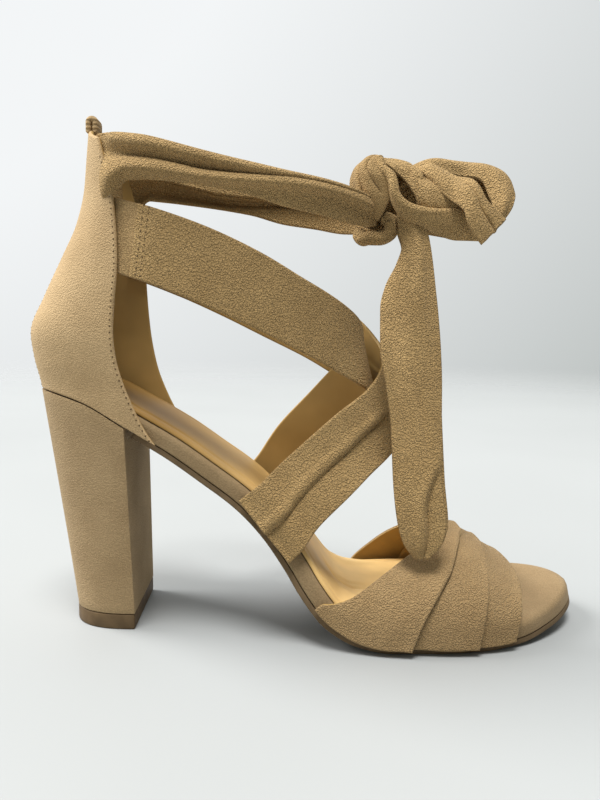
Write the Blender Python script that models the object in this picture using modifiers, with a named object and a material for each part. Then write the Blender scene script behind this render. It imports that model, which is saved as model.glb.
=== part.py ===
"""Block heel sandal for a right foot: closed heel counter, two straps crossed over the instep,
a pleated band over the toes and an ankle ribbon tied in a bow.

Axes: +X to the toe, -Y to the outer (lateral) side, +Z up, floor at Z = 0.
Sizes and tables are in millimetres; the meshes are made in metres.
"""
import math

import bmesh
import bpy
import numpy as np

MM = 0.001
GAP = 0.3
BOX_MIDDLE = np.array([-0.16, -2.15, 0.0])

# Driving sizes
SOLE_BACK = -106.6
SOLE_TIP = 112.6
OUTSOLE_BACK = -68.5
OUTSOLE_THICK = 2.2
OUTSOLE_INSET = 0.4
BOARD_THICK = 6.2
SOCK_THICK = 1.5
SOCK_INSET = 1.8
SOCK_TIP = 72.0
COUNTER_WALL = 2.0
STRAP_WALL = 1.6
BAND_WALL = 1.8
RIBBON_WALL = 1.6
COUNTER_TOP_FRONT = 191.0
COUNTER_TOP_BACK = 197.5
HEEL_TIP_THICK = 6.2
HEEL_BREAST_LOW = -69.5
HEEL_BREAST_HIGH = -71.6
HEEL_BACK_LOW = -96.0
HEEL_HALF_WIDTH_LOW = 21.0

# Height above the board over which a strap is led out past the board's edge
EDGE_PASS = 14.0

# Roundness of the last's level sections, behind and ahead of the widest place
BACK_POWER = 2.4
FRONT_POWER = 2.0


def smooth_curve(keys, values, wanted):
    """Cubic curve through the rows of a table that never overshoots them."""
    keys = np.asarray(keys, float)
    values = np.asarray(values, float)
    steps = np.diff(keys)
    rises = np.diff(values) / steps
    slopes = np.zeros_like(values)
    slopes[0] = rises[0]
    slopes[-1] = rises[-1]
    for i in range(1, len(keys) - 1):
        if rises[i - 1] * rises[i] > 0:
            before = 2 * steps[i] + steps[i - 1]
            after = steps[i] + 2 * steps[i - 1]
            slopes[i] = (before + after) / (before / rises[i - 1] + after / rises[i])
    wanted = np.clip(np.asarray(wanted, float), keys[0], keys[-1])
    row = np.clip(np.searchsorted(keys, wanted) - 1, 0, len(steps) - 1)
    width = steps[row]
    t = (wanted - keys[row]) / width
    start = values[row] * (1 + 2 * t) * (1 - t) ** 2 + slopes[row] * width * t * (1 - t) ** 2
    end = values[row + 1] * t * t * (3 - 2 * t) + slopes[row + 1] * width * t * t * (t - 1)
    return start + end


class Table:
    """A few rows with named columns; each column is a smooth curve over the first one."""

    def __init__(self, columns, *rows):
        names = columns.split()
        self.values = {name: np.array([row[i] for row in rows], float) for i, name in enumerate(names)}
        self.keys = self.values[names[0]]

    def at(self, column, key):
        return smooth_curve(self.keys, self.values[column], key)

    def by_row(self, column, share):
        """The column as a curve over the row number, from 0 at the first row to 1 at the last."""
        rows = np.linspace(0, 1, len(self.keys))
        return smooth_curve(rows, self.values[column], share)


# The underside of the board along the foot, and the board's half widths
SOLE = Table(
    "x       bed   lateral medial",
    (-106.6, 95.2, 0.0, 0.0),
    (-100.0, 94.2, 13.4, 13.4),
    (-88.0, 91.0, 20.5, 20.5),
    (-72.0, 82.3, 24.6, 24.4),
    (-56.0, 73.2, 25.6, 24.4),
    (-42.0, 63.8, 27.0, 23.6),
    (-27.0, 53.0, 29.3, 23.6),
    (-17.0, 43.0, 31.8, 24.6),
    (-8.0, 30.5, 34.0, 26.4),
    (-2.0, 20.8, 35.8, 28.2),
    (7.0, 10.0, 38.2, 31.2),
    (18.0, 4.4, 40.6, 34.2),
    (30.0, 2.5, 42.0, 36.4),
    (48.0, 2.5, 41.9, 37.8),
    (65.0, 2.5, 40.0, 37.4),
    (81.0, 3.8, 35.8, 34.6),
    (95.0, 6.2, 27.5, 27.8),
    (105.0, 8.2, 18.0, 19.4),
    (112.6, 10.0, 0.0, 0.0),
)

# The last from instep to ankle, in level sections
LAST = Table(
    "z     back    front widest lateral medial",
    (30.0, -70.0, 70.0, 12.0, 35.6, 29.6),
    (40.0, -80.0, 59.0, 6.0, 33.2, 27.2),
    (55.0, -95.0, 47.0, -5.0, 30.2, 25.4),
    (75.0, -107.0, 36.0, -30.0, 27.0, 25.6),
    (95.0, -107.4, 29.5, -42.0, 27.4, 27.0),
    (108.0, -110.2, 26.0, -44.0, 28.2, 28.0),
    (117.0, -111.3, 24.0, -45.0, 28.6, 28.4),
    (131.0, -105.7, 23.0, -44.0, 28.4, 28.2),
    (148.0, -97.6, 23.0, -42.0, 27.6, 27.4),
    (159.0, -92.6, 23.5, -40.0, 27.0, 27.0),
    (173.0, -89.2, 24.0, -38.0, 26.4, 26.4),
    (184.0, -88.2, 24.0, -38.0, 25.8, 25.8),
    (204.0, -86.4, 24.0, -38.0, 25.0, 25.0),
)

# The counter's front edges
COUNTER_EDGE = Table(
    "z     lateral medial",
    (72.0, -56.0, -53.0),
    (76.0, -60.0, -55.0),
    (83.0, -64.6, -59.5),
    (92.0, -68.8, -64.0),
    (101.0, -72.2, -67.5),
    (109.0, -74.2, -69.5),
    (118.0, -75.0, -71.0),
    (130.0, -74.4, -72.0),
    (144.0, -73.4, -72.6),
    (165.0, -75.0, -74.4),
    (178.0, -78.0, -77.0),
    (191.0, -81.5, -80.5),
    (200.0, -84.0, -83.0),
)

# Each strap runs from the counter on one side, over the instep, to the sole on the other side
STRAP_COLUMNS = "row side upper_x upper_z lower_x lower_z lift"
STRAP_FROM_LATERAL = Table(
    STRAP_COLUMNS,
    (0, -1, -86.0, 171.0, -86.0, 143.5, -1.1),
    (1, -1, -75.3, 168.3, -75.3, 140.6, -1.1),
    (2, -1, -60.0, 164.0, -60.0, 135.8, 0.0),
    (3, -1, -40.5, 157.4, -40.9, 128.6, 0.0),
    (4, -1, -22.0, 149.2, -22.0, 120.2, 0.0),
    (5, -1, -3.5, 139.0, -3.5, 111.0, 0.0),
    (6, -1, 14.0, 129.4, 16.0, 100.5, 0.0),
    (7, 1, 30.0, 119.5, 40.0, 90.0, 0.0),
    (8, 1, 13.0, 106.0, 24.0, 76.0, 0.0),
    (9, 1, -1.0, 90.5, 11.0, 60.5, 0.0),
    (10, 1, -13.5, 76.0, -0.5, 46.0, 0.0),
    (11, 1, -22.5, 62.0, -6.0, 36.5, 0.0),
    (12, 1, -28.0, 55.4, -8.6, 32.6, 0.0),
)
STRAP_FROM_MEDIAL = Table(
    STRAP_COLUMNS,
    (0, 1, -84.0, 170.0, -84.0, 142.4, -1.1),
    (1, 1, -72.2, 166.4, -72.2, 138.8, -1.1),
    (2, 1, -56.0, 161.0, -56.0, 132.6, 0.0),
    (3, 1, -40.0, 154.6, -40.0, 125.6, 0.0),
    (4, 1, -22.0, 146.4, -22.0, 117.0, 0.0),
    (5, 1, -3.5, 138.0, -1.5, 107.0, 0.6),
    (6, 1, 15.0, 128.0, 19.0, 94.0, 1.1),
    (7, -1, 36.0, 112.0, 46.0, 79.5, 1.1),
    (8, -1, 20.0, 97.0, 29.0, 69.0, 1.0),
    (9, -1, 8.0, 87.5, 17.5, 59.5, 0.5),
    (10, -1, -9.0, 72.5, 3.0, 46.5, 0.0),
    (11, -1, -20.5, 61.5, -5.0, 36.0, 0.0),
    (12, -1, -28.0, 55.4, -8.6, 32.6, 0.0),
)
# Where a strap passes over the instep, how far that pass reaches and where it ends, as shares of its length
STRAP_CREST = 0.54
CREST_REACH = 0.12
CREST_BLEND = 0.09

# The toe band: crown of the last over the toes, and the band's two edges by turn over the foot
TOE = Table(
    "x     crown",
    (0.0, 33.0),
    (20.0, 36.5),
    (40.0, 38.5),
    (60.0, 36.0),
    (75.0, 27.5),
    (87.0, 20.5),
    (100.0, 16.0),
)
BAND = Table(
    "turn   rear  front",
    (-100.0, 1.5, 81.0),
    (-90.0, 4.5, 82.5),
    (-60.0, 21.5, 84.5),
    (-40.0, 37.0, 85.8),
    (-20.0, 52.0, 86.6),
    (0.0, 60.0, 87.0),
    (20.0, 60.0, 87.0),
    (45.0, 49.0, 86.6),
    (70.0, 34.0, 85.6),
    (90.0, 22.5, 84.0),
    (100.0, 20.0, 83.0),
)
PLEAT_FOLDS = (0.40, 0.72)
PLEAT_STEP = 1.3
BAND_POWER = 2.2

# The ankle ribbon, gathered into two rolls: its edges and how far it stands off the last
TIE = Table(
    "row x_upper z_upper x_lower z_lower lift",
    (0, -84.0, 192.4, -83.0, 172.0, -2.0),
    (1, -77.5, 190.6, -76.5, 173.0, -2.0),
    (2, -68.0, 188.2, -68.0, 174.4, -1.0),
    (3, -48.0, 184.2, -48.0, 170.5, 0.4),
    (4, -25.0, 179.6, -25.0, 166.0, 0.8),
    (5, 0.0, 174.8, 0.0, 161.0, 0.8),
    (6, 18.9, 172.0, 18.9, 159.0, 0.8),
    (7, 22.3, 171.4, 22.3, 158.6, 0.6),
)
TIE_END_ROW = {-1: 6, 1: 7}
TIE_FREE = 73.0
TIE_ROLLS = Table(
    "share proud",
    (0.0, -0.8),
    (0.22, 2.0),
    (0.50, 0.2),
    (0.78, 2.2),
    (1.0, -0.8),
)

# The bow: the looped ribbon in plan, with its height at each place, and the loop that hangs down
LOOP = Table(
    "row x    y      z      height",
    (0, 33.2, -9.8, 168.4, 13.0),
    (1, 46.0, -18.0, 170.0, 25.0),
    (2, 60.0, -20.5, 170.0, 31.0),
    (3, 73.0, -19.5, 169.0, 33.0),
    (4, 78.2, -13.0, 168.5, 32.0),
    (5, 78.2, -6.5, 168.5, 31.0),
    (6, 72.0, -0.5, 169.5, 31.0),
    (7, 58.0, 0.5, 170.5, 28.0),
    (8, 46.0, -1.0, 170.0, 22.0),
    (9, 34.3, -3.4, 168.4, 13.0),
)
HANGING = Table(
    "row x    y      z      width",
    (0, 32.0, -14.9, 160.2, 7.0),
    (1, 34.6, -18.0, 148.0, 14.0),
    (2, 38.0, -21.5, 136.0, 20.5),
    (3, 39.4, -24.5, 124.0, 22.5),
    (4, 40.0, -28.0, 104.0, 22.5),
    (5, 40.6, -31.0, 84.0, 21.5),
    (6, 41.2, -34.0, 62.0, 20.0),
    (7, 41.4, -36.0, 47.0, 18.5),
    (8, 41.6, -37.0, 36.5, 13.0),
)
HANGING_LAYER_GAP = 1.9
HANGING_FOLD = 2.2
KNOT_CENTRE = np.array([25.5, -3.5, 171.0])
KNOT_HALF_SIZE = np.array([9.5, 11.5, 14.7])
TAB_SIZE = (4.6, 8.0, 5.8)
TAB_CENTRE = (-88.0, 0.0, 200.8)

COLOURS = {
    "suede": ((0.55, 0.40, 0.26), 0.9),
    "lining": ((0.60, 0.40, 0.19), 0.6),
    "rubber": ((0.10, 0.07, 0.05), 0.7),
    "heel_rubber": ((0.26, 0.17, 0.10), 0.6),
}


def bed_point(x, offset):
    """The board's underside moved square to itself by an offset, as (x, z)."""
    slope = (SOLE.at("bed", x + 0.2) - SOLE.at("bed", x - 0.2)) / 0.4
    size = np.sqrt(1 + slope ** 2)
    return x - slope / size * offset, SOLE.at("bed", x) + offset / size


def sole_angle(x):
    """Position along the sole as an angle, so that both ends of the outline come out round."""
    middle = (SOLE_BACK + SOLE_TIP) / 2
    half = (SOLE_TIP - SOLE_BACK) / 2
    return np.arccos(np.clip((middle - np.asarray(x, float)) / half, -1, 1))


def sole_edge(x, side):
    """Half width of the board at x, on the lateral or the medial side."""
    return smooth_curve(sole_angle(SOLE.keys), SOLE.values[side], sole_angle(x))


def last_point(z, turn):
    """Point of the last at a height; turn is 0 on the instep and 180 at the back, minus is lateral."""
    cosine = np.cos(np.radians(turn))
    sine = np.sin(np.radians(turn))
    widest = LAST.at("widest", z)
    power = np.where(cosine > 0, FRONT_POWER, BACK_POWER)
    reach = np.where(cosine > 0, LAST.at("front", z), LAST.at("back", z)) - widest
    half = np.where(sine < 0, -LAST.at("lateral", z), LAST.at("medial", z))
    x = widest + reach * np.abs(cosine) ** (2 / power)
    y = half * np.abs(sine) ** (2 / power)
    return np.stack([x, y, z + 0 * x], axis=-1)


def turn_at(x, z, side):
    """The turn at which the last's section at height z passes x."""
    widest = LAST.at("widest", z)
    ahead = (x - widest) / (LAST.at("front", z) - widest)
    behind = (widest - x) / (widest - LAST.at("back", z))
    cosine = np.where(x > widest,
                      np.clip(ahead, 0, 1) ** (FRONT_POWER / 2),
                      -np.clip(behind, 0, 1) ** (BACK_POWER / 2))
    return side * np.degrees(np.arccos(cosine))


def off_last(z, turn, lift):
    """Point of the last moved outward by a lift, and led past the edge of the board."""
    step = 0.5
    around = last_point(z, turn + step) - last_point(z, turn - step)
    upward = last_point(z + step, turn) - last_point(z - step, turn)
    outward = np.cross(around, upward)
    outward /= np.linalg.norm(outward, axis=-1, keepdims=True)
    point = last_point(z, turn) + outward * np.asarray(lift)[..., None]
    return clear_of_board(point)


def clear_of_board(points):
    """Leads points that come down beside the board smoothly out to its edge and a gap."""
    x, y, z = np.moveaxis(points, -1, 0)
    top = SOLE.at("bed", x) + 1.8 * BOARD_THICK
    lateral = np.minimum(y, -sole_edge(x, "lateral") - GAP)
    medial = np.maximum(y, sole_edge(x, "medial") + GAP)
    beside = np.where(y < 0, lateral, medial)
    near = np.clip((top + EDGE_PASS - z) / EDGE_PASS, 0, 1)
    near = near * near * (3 - 2 * near)
    return np.stack([x, y + (beside - y) * near, z], axis=-1)


def to_metres(point):
    """A point of the tables, moved so that the middle of the shoe's box is at x = y = 0, in metres."""
    return (point - BOX_MIDDLE) * MM


def surface_mesh(name, points):
    """An open mesh of quads through a grid of points."""
    form = bmesh.new()
    grid = [[form.verts.new(to_metres(point)) for point in row] for row in points]
    for low, high in zip(grid, grid[1:]):
        for corners in zip(low, low[1:], high[1:], high):
            form.faces.new(corners)
    bmesh.ops.remove_doubles(form, verts=form.verts, dist=1e-6)
    mesh = bpy.data.meshes.new(name)
    form.to_mesh(mesh)
    form.free()
    mesh.shade_smooth()
    return mesh


def slab_mesh(name, low, high):
    """A closed solid between two grids of points, one above the other."""
    form = bmesh.new()
    lower = [[form.verts.new(to_metres(point)) for point in row] for row in low]
    upper = [[form.verts.new(to_metres(point)) for point in row] for row in high]
    last_row = len(lower) - 1
    last_column = len(lower[0]) - 1
    for i in range(last_row):
        for j in range(last_column):
            for grid in (lower, upper):
                form.faces.new((grid[i][j], grid[i][j + 1], grid[i + 1][j + 1], grid[i + 1][j]))
        for j in (0, last_column):
            form.faces.new((lower[i][j], lower[i + 1][j], upper[i + 1][j], upper[i][j]))
    for i in (0, last_row):
        for j in range(last_column):
            form.faces.new((lower[i][j], lower[i][j + 1], upper[i][j + 1], upper[i][j]))
    bmesh.ops.remove_doubles(form, verts=form.verts, dist=1e-6)
    bmesh.ops.recalc_face_normals(form, faces=form.faces)
    mesh = bpy.data.meshes.new(name)
    form.to_mesh(mesh)
    form.free()
    return mesh


def closed_loft(name, rings):
    """A solid through closed rings of points, with a flat cap on each end."""
    form = bmesh.new()
    loops = [[form.verts.new(to_metres(point)) for point in ring] for ring in rings]
    for low, high in zip(loops, loops[1:]):
        for i in range(len(low)):
            after = (i + 1) % len(low)
            form.faces.new((low[i], low[after], high[after], high[i]))
    form.faces.new(loops[0][::-1])
    form.faces.new(loops[-1])
    bmesh.ops.recalc_face_normals(form, faces=form.faces)
    mesh = bpy.data.meshes.new(name)
    form.to_mesh(mesh)
    form.free()
    return mesh


def thicken(part, wall):
    """Gives an open surface its wall, on the side that its faces point to."""
    solid = part.modifiers.new("wall", "SOLIDIFY")
    solid.thickness = wall * MM
    solid.offset = 1


def make_material(name):
    colour, roughness = COLOURS[name]
    material = bpy.data.materials.new(name)
    material.use_nodes = True
    shader = material.node_tree.nodes["Principled BSDF"]
    shader.inputs["Base Color"].default_value = (*colour, 1)
    shader.inputs["Roughness"].default_value = roughness
    shader.inputs["Metallic"].default_value = 0
    return material


def add_part(name, mesh, finish, collection):
    part = bpy.data.objects.new(name, mesh)
    mesh.materials.append(bpy.data.materials.get(finish) or make_material(finish))
    collection.objects.link(part)
    return part


def sole_layer(back, tip, offset, inset, round_back=True):
    """A strip along the foot at an offset from the bed, as wide as the board less an inset."""
    middle = (SOLE_BACK + SOLE_TIP) / 2
    shared = middle - (SOLE_TIP - SOLE_BACK) / 2 * np.cos(np.linspace(0, np.pi, 48))
    between = shared[(shared > back + 0.2) & (shared < tip - 0.2)]
    x = np.concatenate([[back], between, [tip]])
    start = SOLE_BACK if round_back else back
    on_board = start + (x - back) * (tip - start) / (tip - back)
    inward = inset * np.sin(sole_angle(on_board))
    lateral = sole_edge(on_board, "lateral") - inward
    medial = sole_edge(on_board, "medial") - inward
    place, height = bed_point(x, offset)
    width = lateral + medial
    rows = [np.stack([place, -lateral + width * share, height], axis=-1) for share in (0, 0.5, 1)]
    return np.stack(rows, axis=1)


def make_sole(collection):
    """Outsole, suede-covered board and sock, one on the other."""
    under = -GAP - OUTSOLE_THICK
    over = BOARD_THICK + GAP
    sock_back = SOLE_BACK + SOCK_INSET
    layers = (
        ("outsole", "rubber", OUTSOLE_BACK, SOLE_TIP, under, OUTSOLE_THICK, OUTSOLE_INSET, False),
        ("insole_board", "suede", SOLE_BACK, SOLE_TIP, 0, BOARD_THICK, 0, True),
        ("insole_sock", "lining", sock_back, SOCK_TIP, over, SOCK_THICK, SOCK_INSET, True),
    )
    for name, finish, back, tip, offset, thick, inset, round_back in layers:
        low = sole_layer(back, tip, offset, inset, round_back)
        high = sole_layer(back, tip, offset + thick, inset, round_back)
        add_part(name, slab_mesh(name, low, high), finish, collection)


def heel_ring(share, height):
    """Outline of the heel at a share of its height: flat breast, sides and round back."""
    around = np.linspace(0, np.pi, 25)
    length = HEEL_BREAST_LOW - HEEL_BACK_LOW
    low_x = HEEL_BREAST_LOW - length * np.abs(np.sin(around)) ** (2 / 2.6)
    low_y = -HEEL_HALF_WIDTH_LOW * np.sign(np.cos(around)) * np.abs(np.cos(around)) ** (2 / 2.6)
    seam = np.full(around.shape, 90.0)
    from_back = np.cos(around)
    for _ in range(6):
        front_lateral = turn_at(HEEL_BREAST_HIGH, seam, -1)
        front_medial = turn_at(HEEL_BREAST_HIGH, seam, 1)
        side_turn = np.where(from_back > 0, 180 + front_lateral, 180 - front_medial)
        turn = 180 - np.abs(from_back) * side_turn
        turn = np.where(from_back > 0, -turn, turn)
        top = off_last(seam, turn, np.full(around.shape, COUNTER_WALL))
        seam = SOLE.at("bed", top[:, 0]) - GAP
    x = low_x + (top[:, 0] - low_x) * share
    y = low_y + (top[:, 1] - low_y) * share
    z = height + (seam - height) * share
    return np.stack([x, y, z], axis=-1)


def make_heel(collection):
    """Covered block heel and its rubber top piece."""
    foot = HEEL_TIP_THICK + GAP
    rings = [heel_ring(share, foot) for share in np.linspace(0, 1, 7)]
    add_part("heel_block", closed_loft("heel_block", rings), "suede", collection)
    tip = heel_ring(0, 0.0)
    rings = [tip, tip + np.array([0, 0, HEEL_TIP_THICK])]
    add_part("heel_tip", closed_loft("heel_tip", rings), "heel_rubber", collection)


def counter_surface():
    """The counter from its lateral front edge round the back to its medial front edge."""
    columns = []
    for reach in np.linspace(-1, 1, 37):
        side = "lateral" if reach < 0 else "medial"
        sign = -1 if reach < 0 else 1
        to_back = 1 - abs(reach)

        def place(z):
            front = turn_at(COUNTER_EDGE.at(side, z), z, sign)
            return front + (180 * sign - front) * to_back

        low = np.array(90.0)
        for _ in range(8):
            low = SOLE.at("bed", last_point(low, place(low))[0]) + GAP
        high = COUNTER_TOP_FRONT + (COUNTER_TOP_BACK - COUNTER_TOP_FRONT) * to_back
        z = low + (high - low) * np.linspace(0, 1, 15)
        columns.append(off_last(z, place(z), np.zeros(z.shape)))
    return np.stack(columns)


def strap_turn(table, share, across):
    """Turn and height of a strap's points: by place beside the foot, by turn over the instep."""
    rows = np.linspace(0, 1, len(table.keys))
    x = table.by_row("lower_x", share) * (1 - across) + table.by_row("upper_x", share) * across
    z = table.by_row("lower_z", share) * (1 - across) + table.by_row("upper_z", share) * across
    over = np.zeros(share.shape)
    for edge, part in (("lower", 1 - across), ("upper", across)):
        turns = turn_at(table.values[edge + "_x"], table.values[edge + "_z"], table.values["side"])
        over = over + smooth_curve(rows, turns, share) * part
    side = np.where(share < STRAP_CREST, table.values["side"][0], table.values["side"][-1])
    beside = np.clip((np.abs(share - STRAP_CREST) - CREST_REACH) / CREST_BLEND, 0, 1)
    beside = beside * beside * (3 - 2 * beside)
    return over + (turn_at(x, z, side) - over) * beside, z


def strap_surface(table):
    """A strap as a band on the last, between its lower and its upper edge."""
    share = np.linspace(0, 1, 49)
    lift = table.by_row("lift", share)
    bands = []
    for across in np.linspace(0, 1, 6):
        turn, z = strap_turn(table, share, across)
        bands.append(off_last(z, turn, lift))
    grid = np.stack(bands, axis=1)
    return grid[::-1] if table.values["side"][0] < 0 else grid


def make_upper(collection, cutters):
    """Counter and crossed straps, joined into one hollow wall."""
    upper = add_part("upper", surface_mesh("upper", counter_surface()), "suede", collection)
    thicken(upper, COUNTER_WALL)
    for name, table in (("strap_from_lateral", STRAP_FROM_LATERAL), ("strap_from_medial", STRAP_FROM_MEDIAL)):
        strap = add_part(name, surface_mesh(name, strap_surface(table)), "suede", cutters)
        thicken(strap, STRAP_WALL)
        strap.hide_render = True
        strap.display_type = "WIRE"
        join = upper.modifiers.new(name, "BOOLEAN")
        join.operation = "UNION"
        join.object = strap
        join.solver = "EXACT"


def band_point(x, turn, lift):
    """Point over the toes: straight beside the board, then arched over to the other side."""
    arch = np.radians(np.clip(turn, -90, 90))
    drop = np.clip(np.abs(turn) - 90, 0, 10) / 10
    half = np.where(turn < 0, sole_edge(x, "lateral"), sole_edge(x, "medial")) + GAP + lift
    base = SOLE.at("bed", x) + BOARD_THICK
    rise = TOE.at("crown", x) + lift - base
    y = np.sign(turn) * half * np.abs(np.sin(arch)) ** (2 / BAND_POWER)
    z = base + rise * np.abs(np.cos(arch)) ** (2 / BAND_POWER) - drop * BOARD_THICK
    return np.stack([x, y, z], axis=-1)


def band_surface():
    """The toe band with its pleats: each fold steps down to the next one towards the toe."""
    turn = np.linspace(-100, 100, 45)
    starts = (0.0,) + PLEAT_FOLDS
    ends = PLEAT_FOLDS + (1.0,)
    columns = []
    for start, end in zip(starts, ends):
        for share in np.linspace(0, 1, 4):
            along = start + (end - start) * share + 0.012 * (1 - share) * (start > 0)
            x = BAND.at("rear", turn) + (BAND.at("front", turn) - BAND.at("rear", turn)) * along
            step = PLEAT_STEP * share if end < 1.0 else 0.0
            columns.append(band_point(x, turn, step))
    return np.stack(columns, axis=1)


def make_front_band(collection):
    band = add_part("front_band", surface_mesh("front_band", band_surface()), "suede", collection)
    thicken(band, BAND_WALL)


def tie_surface(side):
    """Half of the ankle ribbon, from inside the counter to the knot."""
    share = np.linspace(0, TIE_END_ROW[side] / TIE.keys[-1], 25)
    bands = []
    for across in np.linspace(0, 1, 9):
        x = TIE.by_row("x_lower", share) * (1 - across) + TIE.by_row("x_upper", share) * across
        z = TIE.by_row("z_lower", share) * (1 - across) + TIE.by_row("z_upper", share) * across
        swell = np.clip((x + TIE_FREE) / 20, 0, 1)
        lift = TIE.by_row("lift", share) + TIE_ROLLS.at("proud", across) * swell
        lift = np.where(x < -TIE_FREE, -RIBBON_WALL - 2 * GAP, lift)
        bands.append(off_last(z, turn_at(x, z, side), lift))
    grid = np.stack(bands, axis=1)
    return grid[:, ::-1] if side < 0 else grid


def loop_surface():
    """The bow's loop: a ribbon that goes out from the knot and comes back to it."""
    share = np.linspace(0, 1, 33)
    centre = np.stack([LOOP.by_row(axis, share) for axis in ("x", "y", "z")], axis=-1)
    height = LOOP.by_row("height", share)
    bands = []
    for across in np.linspace(-0.5, 0.5, 5):
        bands.append(centre + np.outer(height * across, (0, 0, 1)))
    return np.stack(bands, axis=1)


def hanging_surface():
    """The loop that hangs down: a front layer, a fold at the bottom and a back layer."""
    share = np.linspace(0, 1, 19)
    half_gap = np.full(share.shape, HANGING_LAYER_GAP + RIBBON_WALL / 2)
    there = np.stack([HANGING.by_row(axis, share) for axis in ("x", "y", "z")], axis=-1)
    width = HANGING.by_row("width", share)
    fold = there[-1:] - np.array([[0, 0, HANGING_FOLD]])
    front = there - np.outer(half_gap, (0, 1, 0))
    back = (there + np.outer(half_gap, (0, 1, 0)))[::-1]
    centre = np.concatenate([front, fold, back])
    widths = np.concatenate([width, width[-1:] * 0.8, width[::-1]])
    bands = []
    for across in np.linspace(-0.5, 0.5, 6):
        bands.append(centre + np.outer(widths * across, (0.97, -0.24, 0)))
    return np.stack(bands, axis=1)


def make_knot(collection):
    """The knot of the bow: a rounded, pinched lump."""
    form = bmesh.new()
    bmesh.ops.create_uvsphere(form, u_segments=20, v_segments=12, radius=1)
    for vertex in form.verts:
        pinch = 1 - 0.12 * math.cos(3 * vertex.co.z)
        vertex.co = to_metres(KNOT_CENTRE + KNOT_HALF_SIZE * np.array(vertex.co) * (pinch, pinch, 1))
    mesh = bpy.data.meshes.new("bow_knot")
    form.to_mesh(mesh)
    form.free()
    mesh.shade_smooth()
    add_part("bow_knot", mesh, "suede", collection)


def make_ribbon(collection):
    """Ankle ribbon, bow loop, hanging loop and knot."""
    surfaces = (
        ("ankle_tie_lateral", tie_surface(-1)),
        ("ankle_tie_medial", tie_surface(1)),
        ("bow_loop", loop_surface()),
        ("bow_hanging_loop", hanging_surface()),
    )
    for name, points in surfaces:
        part = add_part(name, surface_mesh(name, points), "suede", collection)
        thicken(part, RIBBON_WALL)
    make_knot(collection)


def make_pull_tab(collection):
    """Folded tab on the top of the back seam, rounded along its upper edge."""
    length, width, height = TAB_SIZE
    around = np.linspace(0, np.pi, 9)
    arch = [(length / 2 * math.cos(a), height / 2 - length / 2 + length / 2 * math.sin(a)) for a in around]
    outline = [(length / 2, -height / 2)] + arch + [(-length / 2, -height / 2)]
    centre = np.array(TAB_CENTRE)
    rings = [[centre + (x, y, z) for x, z in outline] for y in (-width / 2, width / 2)]
    add_part("pull_tab", closed_loft("pull_tab", rings), "suede", collection)


def main():
    for thing in list(bpy.data.objects):
        bpy.data.objects.remove(thing, do_unlink=True)
    collection = bpy.data.collections.new("block_heel_sandal")
    cutters = bpy.data.collections.new("cutters")
    for group in (collection, cutters):
        bpy.context.scene.collection.children.link(group)
    make_sole(collection)
    make_heel(collection)
    make_upper(collection, cutters)
    make_front_band(collection)
    make_ribbon(collection)
    make_pull_tab(collection)


main()
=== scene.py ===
"""Looks of a right block heel sandal: napped suede, lining, rubber, stitches and a tied ribbon,
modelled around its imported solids.

Axes: +X to the toe, -Y to the outer (lateral) side, +Z up, floor at Z = 0.
Sizes and tables are in millimetres; the meshes are made in metres.
"""

import bpy
import numpy as np
from mathutils import Matrix, Vector


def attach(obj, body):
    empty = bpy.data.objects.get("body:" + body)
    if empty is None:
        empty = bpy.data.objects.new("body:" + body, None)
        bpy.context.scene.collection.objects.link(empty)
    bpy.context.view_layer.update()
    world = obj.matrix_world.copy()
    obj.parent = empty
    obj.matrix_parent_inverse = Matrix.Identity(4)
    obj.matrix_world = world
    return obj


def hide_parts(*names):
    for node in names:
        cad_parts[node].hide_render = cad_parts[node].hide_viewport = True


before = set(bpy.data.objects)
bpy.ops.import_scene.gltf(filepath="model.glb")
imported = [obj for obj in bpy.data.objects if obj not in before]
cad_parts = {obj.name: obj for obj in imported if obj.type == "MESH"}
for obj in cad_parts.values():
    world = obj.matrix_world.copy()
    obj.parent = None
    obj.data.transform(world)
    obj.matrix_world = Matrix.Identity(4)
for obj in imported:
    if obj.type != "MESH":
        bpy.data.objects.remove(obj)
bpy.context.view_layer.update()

MM = 0.001

# Air between neighbouring pieces, the middle of the shoe's box in the tables, points inside the shoe,
# and the direction of its outer side
GAP = 0.3
BOX_MIDDLE = np.array([-0.16, -2.15, 0.0])
HEEL_MIDDLE = np.array([-45.0, 0.0, 140.0])
INSTEP_MIDDLE = np.array([-20.0, 0.0, 110.0])
TOE_MIDDLE = np.array([50.0, 0.0, 10.0])
OUTER_SIDE = np.array([0.0, -1.0, 0.0])

# Camera of the photo: place, turns in degrees, focal length and width of its sensor
CAMERA_PLACE = np.array([-14.0, -290.5, 124.0])
CAMERA_PITCH = -6.5
CAMERA_YAW = -1.9
CAMERA_ROLL = 1.0
CAMERA_LENS = 31.5
CAMERA_SENSOR = 36.0

# Sole
SOLE_BACK = -106.6
SOLE_TIP = 112.6
SOLE_MIDDLE = (SOLE_BACK + SOLE_TIP) / 2
SOLE_HALF = (SOLE_TIP - SOLE_BACK) / 2
OUTSOLE_BACK = -68.5
OUTSOLE_THICK = 2.2
OUTSOLE_INSET = 0.4
BOARD_THICK = 6.2
SOCK_THICK = 1.5
SOCK_INSET = 1.8
SOCK_TIP = 72.0
GROOVE_INSET = 3.2
GROOVE_WIDTH = 0.8

# Heel: its top piece, its breast, and its back and half width at the floor
HEEL_TIP_THICK = 6.2
HEEL_BREAST_LOW = -69.5
HEEL_BREAST_HIGH = -71.6
HEEL_BACK_LOW = -96.0
HEEL_HALF_WIDTH_LOW = 21.0

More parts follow.
